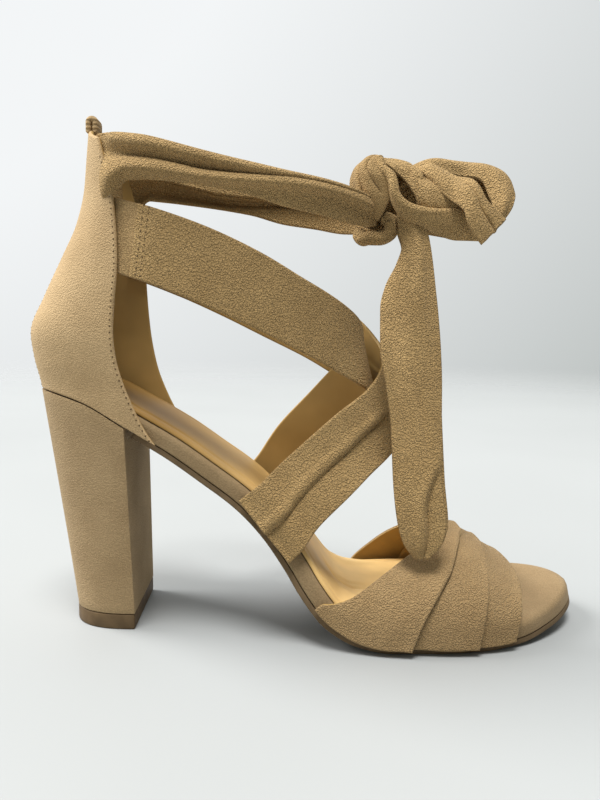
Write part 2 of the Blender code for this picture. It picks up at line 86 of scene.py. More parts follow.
# Walls of the upper, the counter's top edge, and a first guess of the height of its lower edge
COUNTER_WALL = 2.0
COUNTER_TOP_FRONT = 191.0
COUNTER_TOP_BACK = 197.5
COUNTER_LOW_GUESS = 90.0
STRAP_WALL = 1.6
ELASTIC_WALL = 1.1
PANEL_WALL = 1.5
RIBBON_WALL = 1.3

# How full the sections of last, toe band and heel are: 2 is an ellipse, more is squarer
BACK_POWER = 2.4
FRONT_POWER = 2.0
BAND_POWER = 2.2
HEEL_POWER = 2.6

# The upper stands clear of the board up to a height over the bed, and is back on the last higher up
EDGE_CLEAR = 1.8 * BOARD_THICK
EDGE_PASS = 14.0

# Light: the bright side of the surround, its tones as place and colour, where 0 is the darkest place
# and 1 the brightest, and soft suns as name, direction, spread in degrees and strength
WINDOW_SIDE = (-0.5, 0.6, 0.6)
SURROUND = (
    (0.15, (0.07, 0.07, 0.07)),
    (0.92, (0.90, 0.92, 0.93)),
    (0.62, (0.50, 0.53, 0.52)),
)
SUNS = (
    ("key", (-0.85, 0.25, 0.85), 26, 3.4),
    ("top", (-0.05, -0.25, 1.0), 22, 3.5),
)

# The floor: half its width, how far it is whole, and where it is faded out, in metres
FLOOR_HALF = 4.0
FLOOR_CLEAR = 0.35
FLOOR_FADE = 1.9

# Stitches: their pitch, their distance from the counter's edge, and needle holes as flattened balls
# with rings at a few angles
STITCH_PITCH = 2.3
EDGE_STITCHES = 1.2
HOLE_RADIUS = 0.36
HOLE_FLATNESS = 0.4
HOLE_SIDES = 8
HOLE_RINGS = (-60, -20, 20, 60)


def smooth_curve(keys, values, wanted):
    """Cubic curve through the rows of a table that never overshoots them."""
    keys = np.asarray(keys, float)
    values = np.asarray(values, float)
    steps = np.diff(keys)
    rises = np.diff(values) / steps
    slopes = np.zeros_like(values)
    slopes[0] = rises[0]
    slopes[-1] = rises[-1]
    for i in range(1, len(keys) - 1):
        if rises[i - 1] * rises[i] > 0:
            before = 2 * steps[i] + steps[i - 1]
            after = steps[i] + 2 * steps[i - 1]
            slopes[i] = (before + after) / (before / rises[i - 1] + after / rises[i])
    wanted = np.clip(np.asarray(wanted, float), keys[0], keys[-1])
    row = np.clip(np.searchsorted(keys, wanted) - 1, 0, len(steps) - 1)
    width = steps[row]
    t = (wanted - keys[row]) / width
    start = values[row] * (1 + 2 * t) * (1 - t) ** 2 + slopes[row] * width * t * (1 - t) ** 2
    end = values[row + 1] * t * t * (3 - 2 * t) + slopes[row + 1] * width * t * t * (t - 1)
    return start + end


class Table:
    """A few rows with named columns; each column is a smooth curve over the first one."""

    def __init__(self, columns, *rows):
        names = columns.split()
        self.values = dict(zip(names, np.array(rows, float).T))
        self.keys = self.values[names[0]]

    def at(self, column, key):
        """The column as a curve over the first column."""
        return smooth_curve(self.keys, self.values[column], key)

    def by_row(self, column, share):
        """The column as a curve over the row number, from 0 at the first row to 1 at the last."""
        rows = np.linspace(0, 1, len(self.keys))
        return smooth_curve(rows, self.values[column], share)

    def points(self, prefix, share):
        """Points of the columns x, y and z that have a prefix, by row number."""
        return np.stack([self.by_row(prefix + axis, share) for axis in "xyz"], axis=-1)


# The underside of the board along the foot, and the board's half widths
SOLE = Table(
    "x bed lateral medial",
    (-106.6, 95.2, 0, 0),
    (-100, 94.2, 13.4, 13.4),
    (-88, 91, 20.5, 20.5),
    (-72, 82.3, 24.6, 24.4),
    (-56, 73.2, 25.6, 24.4),
    (-42, 63.8, 27, 23.6),
    (-27, 53, 29.3, 23.6),
    (-17, 43, 31.8, 24.6),
    (-8, 30.5, 34, 26.4),
    (-2, 20.8, 35.8, 28.2),
    (7, 10, 38.2, 31.2),
    (18, 4.4, 40.6, 34.2),
    (30, 2.5, 42, 36.4),
    (48, 2.5, 41.9, 37.8),
    (65, 2.5, 40, 37.4),
    (81, 3.8, 35.8, 34.6),
    (95, 6.2, 27.5, 27.8),
    (105, 8.2, 18, 19.4),
    (112.6, 10, 0, 0),
)

# The last from instep to ankle, in level sections
LAST = Table(
    "z back front widest lateral medial",
    (30, -70, 70, 12, 35.6, 29.6),
    (40, -80, 59, 6, 33.2, 27.2),
    (55, -95, 47, -5, 30.2, 25.4),
    (75, -107, 36, -30, 27, 25.6),
    (95, -107.4, 29.5, -42, 27.4, 27),
    (108, -110.2, 26, -44, 28.2, 28),
    (117, -111.3, 24, -45, 28.6, 28.4),
    (131, -105.7, 23, -44, 28.4, 28.2),
    (148, -97.6, 23, -42, 27.6, 27.4),
    (159, -92.6, 23.5, -40, 27, 27),
    (173, -89.2, 24, -38, 26.4, 26.4),
    (184, -88.2, 24, -38, 25.8, 25.8),
    (204, -86.4, 24, -38, 25, 25),
)

# The counter's front edges
COUNTER_EDGE = Table(
    "z lateral medial",
    (72, -56, -53),
    (76, -60, -55),
    (83, -64.6, -59.5),
    (92, -68.8, -64),
    (101, -72.2, -67.5),
    (109, -74.2, -69.5),
    (118, -75, -71),
    (130, -74.4, -72),
    (144, -73.4, -72.6),
    (165, -75, -74.4),
    (178, -78, -77),
    (191, -81.5, -80.5),
    (200, -84, -83),
)

# Each strap runs from the counter on one side, over the instep, to the sole on the other side:
# the side of the foot, -1 for lateral, both edges, and the lift from the last
STRAP_COLUMNS = "side upper_x upper_z lower_x lower_z lift"
STRAP_FROM_LATERAL = Table(
    STRAP_COLUMNS,
    (-1, -86, 171, -86, 143.5, -1.8),
    (-1, -75.3, 168.3, -75.3, 140.6, -1.6),
    (-1, -60, 164, -60, 135.8, 0),
    (-1, -40.5, 157.4, -40.9, 128.6, 0),
    (-1, -22, 149.2, -22, 120.2, 0),
    (-1, -3.5, 139, -3.5, 111, -0.5),
    (-1, 14, 129.4, 16, 100.5, -2.6),
    (1, 30, 119.5, 40, 90, -4.4),
    (1, 13, 106, 24, 76, -1.5),
    (1, -1, 90.5, 11, 60.5, 0),
    (1, -13.5, 76, -0.5, 46, 0),
    (1, -22.5, 62, -6, 36.5, 0),
    (1, -28, 55.4, -8.6, 32.6, 0),
)
STRAP_FROM_MEDIAL = Table(
    STRAP_COLUMNS,
    (1, -84, 170, -84, 142.4, -1.8),
    (1, -72.2, 166.4, -72.2, 138.8, -1.6),
    (1, -56, 161, -56, 132.6, 0),
    (1, -40, 154.6, -40, 125.6, 0),
    (1, -22, 146.4, -22, 117, 0),
    (1, -3.5, 138, -1.5, 107, 1),
    (1, 15, 128, 19, 94, 2.2),
    (-1, 36, 112, 46, 79.5, 2.8),
    (-1, 20, 97, 29, 69, 1.8),
    (-1, 8, 87.5, 17.5, 59.5, 0.6),
    (-1, -9, 72.5, 3, 46.5, 0),
    (-1, -20.5, 61.5, -5, 36, 0),
    (-1, -28, 55.4, -8.6, 32.6, 0),
)
STRAPS = (("lateral", STRAP_FROM_LATERAL), ("medial", STRAP_FROM_MEDIAL))

# Shares of a strap's run: its elastic, where the suede starts over it, the stitches, the slant of the
# cut start, and the crest over the instep, how far it reaches and how it blends into the sides
ELASTIC_START = 0.03
ELASTIC_END = 0.16
STRAP_START = 0.130
STRAP_STITCHES = (0.1425, 0.152)
STRAP_SLANT = 0.018
STRAP_CREST = 0.54
CREST_REACH = 0.12
CREST_BLEND = 0.09

# Lift of the suede over the elastic, and the tuck: its line as a share of the width, and its height
STRAP_LIFT = 0.5
TUCK_LINE = 0.46
TUCK_HEIGHT = 1.3

# The toe band: crown of the last over the toes, and the band's two edges by turn over the foot
TOE = Table(
    "x crown",
    (0, 33),
    (20, 36.5),
    (40, 38.5),
    (60, 36),
    (75, 27.5),
    (87, 20.5),
    (100, 16),
)
BAND = Table(
    "turn rear front",
    (-100, 1.5, 81),
    (-90, 4.5, 82.5),
    (-60, 21.5, 84.5),
    (-40, 37, 85.8),
    (-20, 52, 86.6),
    (0, 60, 87),
    (20, 60, 87),
    (45, 49, 86.6),
    (70, 34, 85.6),
    (90, 22.5, 84),
    (100, 20, 83),
)

# Where the band's panels end, as shares of its length, by turn over the foot
PANEL_SEAMS = Table(
    "turn first second third",
    (-100, 0.450, 0.776, 0.965),
    (-75, 0.452, 0.746, 0.955),
    (-55, 0.438, 0.712, 0.95),
    (-40, 0.380, 0.660, 0.95),
    (-20, 0.260, 0.552, 0.95),
    (0, 0.210, 0.500, 0.95),
    (20, 0.250, 0.550, 0.95),
    (45, 0.400, 0.670, 0.95),
    (70, 0.450, 0.740, 0.955),
    (100, 0.455, 0.770, 0.965),
)
PANEL_LAP = 0.07

# The panels: piece, the seam that ends it, and its lift from the last at its rear and at its front edge
PANELS = (
    ("band_rear", "first", 0.2, 2.4),
    ("band_middle", "second", 0.1, 2.2),
    ("band_front", "third", 0.1, 0.8),
)

# The band is arched over the foot up to a turn, and runs straight down beside the board up to its ends
BAND_ARCH = 90.0
BAND_END = 100.0

# The ankle ribbon beside the foot: depth of its cloth on both sides, how far its folds stand out,
# how far its lower fold hooks over the counter's edge, and the heights of the lines that run along
# it from its top edge to its lower edge
TIE = Table(
    "x lateral medial puff hook top crest valley fold front under low",
    (-84, -11.5, 11.5, 0.1, 0, 192.6, 190.6, 187, 179, 174, 170, 168),
    (-81.6, -14, 14, 0.2, 2, 192.5, 190.4, 186.6, 178.4, 173.4, 168.8, 167.2),
    (-79.5, -15.8, 15.8, 0.3, 4.6, 192.3, 190.2, 186.2, 178.6, 173.6, 168.6, 167),
    (-76, -18.8, 18.8, 0.9, 2.6, 191.7, 189.5, 185.3, 179.8, 175.6, 170.6, 169.2),
    (-70, -22, 22, 1.1, 0.6, 190.5, 188, 183.8, 181.2, 178.2, 175.2, 174.6),
    (-62, -25, 25, 1.2, 0, 188.9, 186.4, 182.2, 180.6, 177.6, 174.7, 174.4),
    (-54, -26.4, 26.4, 1.2, 0, 187, 184.6, 180.6, 179.2, 176.4, 173.9, 173.6),
    (-40, -27.2, 27.2, 1.2, 0, 183.6, 181.4, 177.9, 176.6, 174.5, 172.6, 172),
    (-27, -26.8, 26.6, 1.1, 0, 180.8, 179, 176.7, 176.1, 173.9, 171.6, 170),
    (-12, -24.6, 24, 1, 0, 178.2, 177.2, 175.8, 175.8, 173.7, 171.2, 165.6),
    (2, -21.4, 20.2, 1, 0, 176.3, 175.5, 174.5, 174.6, 172.6, 170, 163.2),
    (14, -16.8, 14.2, 0.9, 0, 174, 173.4, 172.6, 172.7, 170.5, 167.8, 160.8),
    (20, -13.4, 9.2, 0.8, 0, 172.2, 171.7, 171, 171, 168.7, 166, 160.4),
    (24, -9.4, 4.6, 0.4, 0, 170.6, 170, 169.3, 168.8, 166.6, 164.4, 161.4),
)

# Lines across the tie: how many puffs each stands out from the cloth, and its share of the hook
TIE_LINES = (
    ("valley", -2.4, 0.0),
    ("crest", -1.8, 0.0),
    ("top", 0.6, 0.0),
    ("crest", 2.2, 0.0),
    ("valley", -0.8, 0.1),
    ("fold", 1.8, 0.8),
    ("front", 3.6, 1.0),
    ("under", 0.8, 1.0),
    ("low", 0.0, 0.7),
)

# Strands of the bow: both edges of the cloth, a and b, and how far it swells between them
STRAND_COLUMNS = "ax ay az bx by bz bulge"
BOW_WRAP = Table(
    STRAND_COLUMNS,
    (25.3, -6, 188.4, 25.3, -11, 185.9, 1.5),
    (20.1, -4, 187.6, 24.9, -15, 181.2, 3.5),
    (15.9, -2.5, 184.2, 27.5, -16, 178.1, 5),
    (14.3, -1.5, 178.8, 29.2, -15.8, 173.1, 5.5),
    (15.4, -1.5, 173, 27.4, -14.6, 168.2, 5),
    (18.3, -2.5, 165.3, 25, -11, 163.4, 3),
)
BOW_WRAP_BACK = Table(
    STRAND_COLUMNS,
    (25.3, -8, 187.4, 30.5, -6, 186.4, 0.5),
    (19.6, -2, 185.6, 33, 1, 183.6, 3),
    (16.4, -2.5, 179, 34, 0, 177, 5.5),
    (15.8, -2.5, 171, 33.6, -1, 169.6, 6),
    (17.8, -3, 164, 31.6, -3, 162.4, 4.5),
    (22, -8, 159.8, 27.6, -8, 159.2, 1),
)
BOW_OVER = Table(
    STRAND_COLUMNS,
    (24.2, -3, 186.6, 24.5, -9.6, 186.3, 1.2),
    (28.1, -0.5, 187, 32, -11, 180.9, 3.6),
    (34, 0, 186, 35.6, -13.2, 176.6, 5),
    (38.6, -4, 184, 38.2, -15.2, 171.7, 5.2),
    (42.2, -7, 182, 39.6, -16.6, 167.4, 4.8),
    (47.2, -11.5, 179, 43, -18.4, 166.5, 3.4),
    (53.6, -16, 173.4, 48.9, -18.8, 166, 1.8),
    (58.1, -17, 169.6, 55.7, -18.8, 166.4, 0.6),
)
BOW_TAIL = Table(
    STRAND_COLUMNS,
    (40.4, -7, 184.3, 40.7, -11, 180.6, 0.6),
    (44.5, -10, 185.7, 44.2, -14.8, 177.5, 1.6),
    (49.3, -13.4, 182.5, 47, -18.6, 173.5, 2),
    (54.4, -16, 179.4, 50.6, -21.6, 169.7, 2.2),
    (58.7, -19.4, 178, 53, -24.8, 167.2, 2.2),
    (60.9, -22.4, 175, 54.6, -26.4, 165, 2),
    (63, -24.6, 170.3, 55.4, -27.4, 161.4, 1.6),
    (66.6, -26, 166.3, 57.8, -27.8, 157, 1.2),
    (70.4, -26.6, 162.6, 61, -28, 152.8, 0.8),
)
BOW_FAR = Table(
    STRAND_COLUMNS,
    (27, 0, 185, 27, 0, 162, 0.5),
    (38, 1, 186.4, 38, 0, 161, 1),
    (50, 1.5, 188, 50, 0, 159, 1.5),
    (62, 1, 187.6, 62, -0.5, 157.6, 1.5),
    (71, -2.4, 185.6, 70.6, -3.5, 160.6, 1.5),
    (75.6, -7, 181.6, 74.6, -8.5, 165, 1),
    (76, -12, 176, 74, -13.5, 166, 0.5),
)
BOW_BACK = Table(
    STRAND_COLUMNS,
    (33, -1, 182.4, 33, -5, 176, 0.5),
    (40, 1, 185.4, 40.5, -6, 182.4, 1.8),
    (46.3, 2, 186.6, 47, -7, 184.6, 2.8),
    (53.7, 2.6, 187.4, 52.4, -7.6, 182.6, 3.4),
    (61.9, 2, 186.6, 57.3, -8.4, 181, 3.8),
    (70.7, -1.4, 185.4, 61.9, -10, 180.4, 3.6),
    (75.1, -5.4, 183, 65, -12, 178.4, 3.2),
    (77, -10.2, 179, 66.6, -14.6, 173.4, 2.6),
    (77.2, -14.6, 174, 67.6, -17.2, 169.2, 2),
    (75.6, -17.4, 169.4, 67.6, -19.2, 165.4, 1.4),
    (71, -19.4, 162.4, 66, -20.4, 159.6, 0.8),
)
BOW_LOWER = Table(
    STRAND_COLUMNS,
    (23, -11.4, 186.5, 24.1, -8.4, 184.6, 0.2),
    (24.4, -14.6, 181.8, 26.3, -11.4, 179.4, 0.3),
    (27.4, -17.3, 178.4, 29.1, -13.4, 175, 0.4),
    (28.7, -18.9, 172.2, 31, -14.6, 167.6, 0.6),
    (32.7, -20, 167.8, 35, -15.6, 162.6, 0.8),
    (38, -20.6, 165.6, 40.4, -16.6, 160.8, 1),
    (44.8, -21, 164.7, 46.6, -17.3, 157.8, 1.2),
    (53.1, -20.6, 165.3, 54.4, -17.6, 155.5, 1.2),
    (58, -18.6, 165.6, 64.4, -16, 155.6, 1),
)

# Radius of the rolled upper edge of the lower strand
LOWER_ROLL = 1.15

# Rolled cloth: a line through its middle, its width, and the angle that it is rolled through
BOW_UNDER = Table(
    "x y z width",
    (17, -4, 160.4, 11),
    (19.6, -8.6, 157.2, 11.5),
    (25.6, -11.4, 156.8, 11.5),
    (29.9, -12.4, 159.4, 11.5),
    (30, -12, 163, 11),
    (26.6, -9.6, 165.4, 11),
)
UNDER_CURL = 300.0

# The ribbon's long end, in two runs
HANGING_FRONT = Table(
    STRAND_COLUMNS,
    (31.4, -12.4, 167, 37.3, -14.4, 167, 0.8),
    (32.4, -14.6, 159, 42.7, -17.6, 159.3, 1.4),
    (33.4, -16, 152.8, 44.2, -19, 152.8, 1.8),
    (31.3, -17, 145.9, 45.5, -20, 144, 2.2),
    (27.1, -18, 137.3, 46.3, -21, 136.4, 2.6),
    (25.3, -19.2, 128.5, 47.1, -22.2, 128.8, 2.8),
    (25.4, -21.6, 113.1, 48.3, -24.6, 113.6, 2.8),
    (27.4, -24, 100.6, 48.7, -27, 101.2, 2.8),
    (29.6, -27.8, 83, 48.5, -30.8, 83.7, 2.6),
    (30.3, -32, 64.6, 48.6, -35, 65.4, 2.6),
    (31.9, -34.4, 49.7, 50.2, -37.4, 50, 2.2),
    (34.3, -35.4, 41.1, 48.4, -38.4, 41.4, 1.6),
    (38.5, -36.2, 35.6, 43.5, -38, 35.5, 0.5),
)
HANGING_BACK = Table(
    STRAND_COLUMNS,
    (31, -8, 165, 35, -10, 165, 0.5),
    (32.4, -11, 158, 40, -14, 158, 0.8),
    (33.8, -13, 152, 42.8, -16, 152, 1),
    (32.6, -14.6, 145, 44.6, -17.4, 144, 1.2),
    (28.8, -15.8, 137, 45.8, -18.6, 136.4, 1.4),
    (27, -17, 128.5, 46.8, -19.8, 128.8, 1.4),
    (27, -19.4, 113.1, 48.2, -22.2, 113.6, 1.4),
    (28.8, -21.8, 100.6, 48.8, -24.6, 101.2, 1.4),
    (30.8, -25.6, 83, 49.2, -28.4, 83.7, 1.4),
    (31.6, -29.8, 64.6, 49.8, -32.6, 65.4, 1.4),
    (33.2, -32.2, 50.5, 51.2, -35, 50, 1.2),
    (35.6, -33.4, 42.4, 49.4, -36.2, 41.6, 1),
    (39.6, -34.4, 37, 44.6, -36, 36.2, 0.5),
)

# Creases pressed into the cloth: start and end as shares along and across it, width and depth
WRAP_CREASES = (
    ((0.22, 0.2), (0.9, 0.75), 0.035, 1.8),
    ((0.1, 0.35), (0.6, 0.85), 0.035, 1.4),
    ((0.45, 0.12), (0.98, 0.5), 0.045, 1.1),
)
TAIL_CREASES = (((0.45, 0.3), (1.0, 0.5), 0.05, 1.0),)

# Lengthwise creases and puffs of the sock at the ball: the width of each, its line and its depth,
# which is minus for a puff
FOLD_COLUMNS = "x y depth"
SOCK_FOLDS = (
    (1.3, Table(FOLD_COLUMNS,
                (-2, -2.0, 0.0), (4, -6.5, 1.3), (12.6, -8.5, 1.6), (27, -3.2, 1.4), (38, -1.0, 0.0))),
    (1.2, Table(FOLD_COLUMNS, (4, -2.4, 0.0), (12, -4.8, 0.9), (20, -2.6, 0.9), (32, 1.0, 0.0))),
    (6.0, Table(FOLD_COLUMNS, (-8, -20.0, 0.0), (4, -20.0, -1.0), (18, -21.0, -1.1), (34, -20.0, 0.0))),
    (4.0, Table(FOLD_COLUMNS, (2, 21.0, 0.0), (12, 22.0, -1.0), (26, 26.0, -1.2), (40, 28.0, 0.0))),
)

# The pull tab: two legs side by side that are joined by a fold on top
TAB_CENTRE = np.array([-88.0, 0.0, 195.4])
TAB_HALF_LENGTH = 1.3
TAB_HEIGHT = 4.3
TAB_WIDTH = 8.0
TAB_WALL = 2.4


def eased(share):
    """A share held between 0 and 1, with a soft start and end."""
    share = np.clip(share, 0, 1)
    return share * share * (3 - 2 * share)


def hill(distance, width):
    """A soft hill: 1 at its middle and nearly 0 at twice its width."""
    return np.exp(-(distance / width) ** 2)


def unit(vectors):
    """The vectors at length 1."""
    return vectors / np.maximum(np.linalg.norm(vectors, axis=-1, keepdims=True), 1e-9)


def edge_dense(count):
    """Shares from 0 to 1 that crowd at both ends, where edges are rounded."""
    return 0.5 - 0.5 * np.cos(np.linspace(0, np.pi, count))


def bed_point(x, offset):
    """The board's underside moved square to itself by an offset, as (x, z)."""
    step = 0.2
    slope = (SOLE.at("bed", x + step) - SOLE.at("bed", x - step)) / (2 * step)
    size = np.sqrt(1 + slope ** 2)
    return x - slope / size * offset, SOLE.at("bed", x) + offset / size


def sole_angle(x):
    """Position along the sole as an angle, so that both ends of the outline come out round."""
    return np.arccos(np.clip((SOLE_MIDDLE - np.asarray(x, float)) / SOLE_HALF, -1, 1))


def sole_edge(x, side):
    """Half width of the board at x, on the lateral or the medial side."""
    return smooth_curve(sole_angle(SOLE.keys), SOLE.values[side], sole_angle(x))


def last_point(z, turn):
    """Point of the last at a height; turn is 0 on the instep and 180 at the back, minus is lateral."""
    cosine = np.cos(np.radians(turn))
    sine = np.sin(np.radians(turn))
    widest = LAST.at("widest", z)
    power = np.where(cosine > 0, FRONT_POWER, BACK_POWER)
    reach = np.where(cosine > 0, LAST.at("front", z), LAST.at("back", z)) - widest
    half = np.where(sine < 0, -LAST.at("lateral", z), LAST.at("medial", z))
    x = widest + reach * np.abs(cosine) ** (2 / power)
    y = half * np.abs(sine) ** (2 / power)
    return np.stack([x, y, z + 0 * x], axis=-1)


def turn_at(x, z, side):
    """The turn at which the last's section at height z passes x."""
    widest = LAST.at("widest", z)
    ahead = (x - widest) / (LAST.at("front", z) - widest)
    behind = (widest - x) / (widest - LAST.at("back", z))
    cosine = np.where(x > widest,
                      np.clip(ahead, 0, 1) ** (FRONT_POWER / 2),
                      -np.clip(behind, 0, 1) ** (BACK_POWER / 2))
    return side * np.degrees(np.arccos(cosine))


def off_last(z, turn, lift):
    """Point of the last moved outward by a lift, and led smoothly past the edge of the board."""
    step = 0.5
    around = last_point(z, turn + step) - last_point(z, turn - step)
    upward = last_point(z + step, turn) - last_point(z - step, turn)
    outward = unit(np.cross(around, upward))
    point = last_point(z, turn) + outward * np.asarray(lift)[..., None]
    x, y, z = np.moveaxis(point, -1, 0)
    lateral = np.minimum(y, -sole_edge(x, "lateral") - GAP)
    medial = np.maximum(y, sole_edge(x, "medial") + GAP)
    beside = np.where(y < 0, lateral, medial)
    near = eased((SOLE.at("bed", x) + EDGE_CLEAR + EDGE_PASS - z) / EDGE_PASS)
    return np.stack([x, y + (beside - y) * near, z], axis=-1)


# Materials

def set_inputs(node, **inputs):
    """Sets inputs of a shader node by name, each to a value or to the output of another node."""
    for name, value in inputs.items():
        socket = node.inputs[name.replace("_", " ")]
        if isinstance(value, bpy.types.NodeSocket):
            node.id_data.links.new(value, socket)
        else:
            socket.default_value = value


def node_of(tree, kind, **inputs):
    """A new shader node with its inputs set by name."""
    node = tree.nodes.new(kind)
    set_inputs(node, **inputs)
    return node


def object_space(tree):
    """Places in the object's own space, in metres."""
    return tree.nodes.new("ShaderNodeTexCoord").outputs["Object"]


def noise(tree, size, detail, roughness=0.55):
    """Noise with features of about the given size in millimetres, over the object's own space."""
    node = node_of(tree, "ShaderNodeTexNoise", Vector=object_space(tree), Scale=1 / (size * MM),
                   Detail=detail, Roughness=roughness)
    return node.outputs["Fac"]


def ramp(tree, value, *stops):
    """A colour ramp over a value; each stop is a position and a colour."""
    node = node_of(tree, "ShaderNodeValToRGB", Fac=value)
    elements = node.color_ramp.elements
    for i, (position, colour) in enumerate(stops):
        element = elements[i] if i < 2 else elements.new(position)
        element.position = position
        element.color = (*colour, 1)
    return node.outputs["Color"]


def multiply(tree, first, second):
    """Product of two colours, by the sockets of the mix node that take and give colours."""
    node = tree.nodes.new("ShaderNodeMix")
    node.data_type = "RGBA"
    node.blend_type = "MULTIPLY"
    node.inputs["Factor"].default_value = 1.0
    tree.links.new(first, node.inputs[6])
    tree.links.new(second, node.inputs[7])
    return node.outputs[2]


def mapped(tree, value, **limits):
    """A value carried from one range to another."""
    return node_of(tree, "ShaderNodeMapRange", Value=value, **limits).outputs["Result"]


def bump(tree, height, depth, strength=1.0, under=None):
    """Bump of a depth in millimetres, on top of another bump if one is given."""
    node = node_of(tree, "ShaderNodeBump", Height=height, Strength=strength, Distance=depth * MM)
    if under is not None:
        set_inputs(node, Normal=under)
    return node.outputs["Normal"]


def new_material(name):
    """A new material, its node tree and its shader."""
    material = bpy.data.materials.new(name)
    material.use_nodes = True
    return material, material.node_tree, material.node_tree.nodes["Principled BSDF"]


def shade(colour, factor):
    """The colour made darker or lighter."""
    return tuple(min(channel * factor, 1.0) for channel in colour)


def pebbles(tree, size):
    """Rounded pebbles of about the given size in millimetres, high in the middle, with wavy borders."""
    place = object_space(tree)
    waver = node_of(tree, "ShaderNodeTexNoise", Vector=place, Scale=1 / (size * MM), Detail=2.0)
    shift = tree.nodes.new("ShaderNodeVectorMath")
    shift.operation = "MULTIPLY_ADD"
    shift.inputs[1].default_value = (0.6 * size * MM,) * 3
    tree.links.new(waver.outputs["Color"], shift.inputs[0])
    tree.links.new(place, shift.inputs[2])
    cells = node_of(tree, "ShaderNodeTexVoronoi", Vector=shift.outputs["Vector"], Scale=1 / (size * MM))
    cells.feature = "SMOOTH_F1"
    set_inputs(cells, Smoothness=0.2)
    return mapped(tree, cells.outputs["Distance"], From_Min=0.75, From_Max=0.1)


def suede(name, colour, grain, depth, contrast):
    """Napped suede: pebbled clumps, fine nap, brushed patches and a soft sheen."""
    material, tree, shader = new_material(name)
    clumps = pebbles(tree, grain)
    nap = noise(tree, grain * 0.5, 2, 0.6)
    patches = noise(tree, 18.0, 3)
    dark = shade(colour, 1 - contrast)
    light = shade(colour, 1 + 2 * contrast)
    fibre = ramp(tree, clumps, (0.1, dark), (0.95, light), (0.5, colour))
    brushed = ramp(tree, patches, (0.3, (0.82, 0.80, 0.77)), (0.7, WHITE))
    speckle = ramp(tree, nap, (0.35, (0.86, 0.84, 0.80)), (0.6, WHITE))
    coarse = bump(tree, clumps, depth)
    set_inputs(shader,
               Base_Color=multiply(tree, multiply(tree, fibre, brushed), speckle),
               Normal=bump(tree, nap, depth * 0.3, 0.7, coarse),
               Roughness=0.95,
               Specular_IOR_Level=0.15,
               Sheen_Weight=0.12,
               Sheen_Roughness=0.5,
               Sheen_Tint=(1.0, 0.86, 0.66, 1))
    return material


def lining(name, colour, heel_shade):
    """Smooth lining with a faint grain and a soft gloss; painted shade darkens it towards the heel."""
    material, tree, shader = new_material(name)
    patches = noise(tree, 16.0, 2)
    tone = ramp(tree, patches, (0.3, shade(colour, 0.9)), (0.7, shade(colour, 1.06)))
    # Painted shade: the lining's colour is darkened towards the heel
    parts = node_of(tree, "ShaderNodeSeparateXYZ", Vector=object_space(tree))
    ahead = mapped(tree, parts.outputs["X"], From_Min=HEEL_SHADE_END * MM, From_Max=HEEL_SHADE_FADE_END * MM)
    heel = ramp(tree, ahead, (0.0, heel_shade), (1.0, WHITE))
    set_inputs(shader,
               Base_Color=multiply(tree, tone, heel),
               Normal=bump(tree, noise(tree, 0.9, 3), 0.05, 0.5),
               Roughness=mapped(tree, patches, To_Min=0.45, To_Max=0.6),
               Specular_IOR_Level=0.2)
    return material


def rubber(name, colour, roughness):
    """Moulded rubber with a fine pitted surface and pale scuffs."""
    material, tree, shader = new_material(name)
    scuffs = noise(tree, 5.0, 4)
    set_inputs(shader,
               Base_Color=ramp(tree, scuffs, (0.35, shade(colour, 0.85)), (0.75, shade(colour, 1.25))),
               Normal=bump(tree, noise(tree, 0.35, 2), 0.06, 0.6),
               Roughness=roughness,
               Specular_IOR_Level=0.2)
    return material


def ribbed(name, colour):
    """Woven tape: fine ribs crossed by a weave."""
    material, tree, shader = new_material(name)
    wave = node_of(tree, "ShaderNodeTexWave", Vector=object_space(tree),
                   Scale=190.0, Distortion=1.5, Detail=2.0)
    wave.bands_direction = "Z"
    ribs = wave.outputs["Fac"]
    weave = bump(tree, noise(tree, 0.4, 2), 0.1, 0.6)
    set_inputs(shader,
               Base_Color=ramp(tree, ribs, (0.2, shade(colour, 0.8)), (0.8, shade(colour, 1.1))),
               Normal=bump(tree, ribs, 0.25, 0.8, weave),
               Roughness=0.9)
    return material


def floor_material():
    """Plain pale studio floor that fades into the surround away from the shoe."""
    material, tree, shader = new_material("floor")
    tone = ramp(tree, noise(tree, 300.0, 2), (0.3, (0.318, 0.326, 0.321)), (0.7, (0.336, 0.344, 0.339)))
    away = tree.nodes.new("ShaderNodeVectorMath")
    away.operation = "LENGTH"
    tree.links.new(object_space(tree), away.inputs[0])
    cover = node_of(tree, "ShaderNodeMapRange", Value=away.outputs["Value"],
                    From_Min=FLOOR_CLEAR, From_Max=FLOOR_FADE, To_Min=1.0, To_Max=0.0)
    cover.interpolation_type = "SMOOTHSTEP"
    set_inputs(shader, Base_Color=tone, Roughness=0.6, Alpha=cover.outputs["Result"])
    return material


WHITE = (1.0, 1.0, 1.0)
TAN = (0.52, 0.365, 0.195)

# Along the shoe, the lining has painted shade at the heel up to the first place and its own colour from
# the second
HEEL_SHADE_END = -60.0
HEEL_SHADE_FADE_END = 15.0

# Suedes by colour, size of clumps and depth of bump in millimetres, and contrast
FINE_SUEDE = suede("suede_fine", shade(TAN, 1.05), 0.6, 0.16, 0.08)
COARSE_SUEDE = suede("suede_coarse", (0.555, 0.366, 0.158), 0.68, 0.85, 0.17)
BAND_SUEDE = suede("suede_band", (0.465, 0.309, 0.148), 0.6, 0.6, 0.15)
# The knot's wrap: the ribbon's suede made darker, painted shade of the knot's creases
SHADED_KNOT_SUEDE = suede("suede_knot_painted_shade", (0.45, 0.298, 0.132), 0.6, 0.4, 0.12)
ELASTIC_SUEDE = suede("suede_elastic", (0.47, 0.315, 0.145), 0.5, 0.3, 0.25)
HEEL_SUEDE = suede("suede_heel", shade(TAN, 0.80), 0.6, 0.14, 0.08)
BOARD_SUEDE = suede("suede_board", shade(TAN, 0.60), 0.6, 0.10, 0.08)
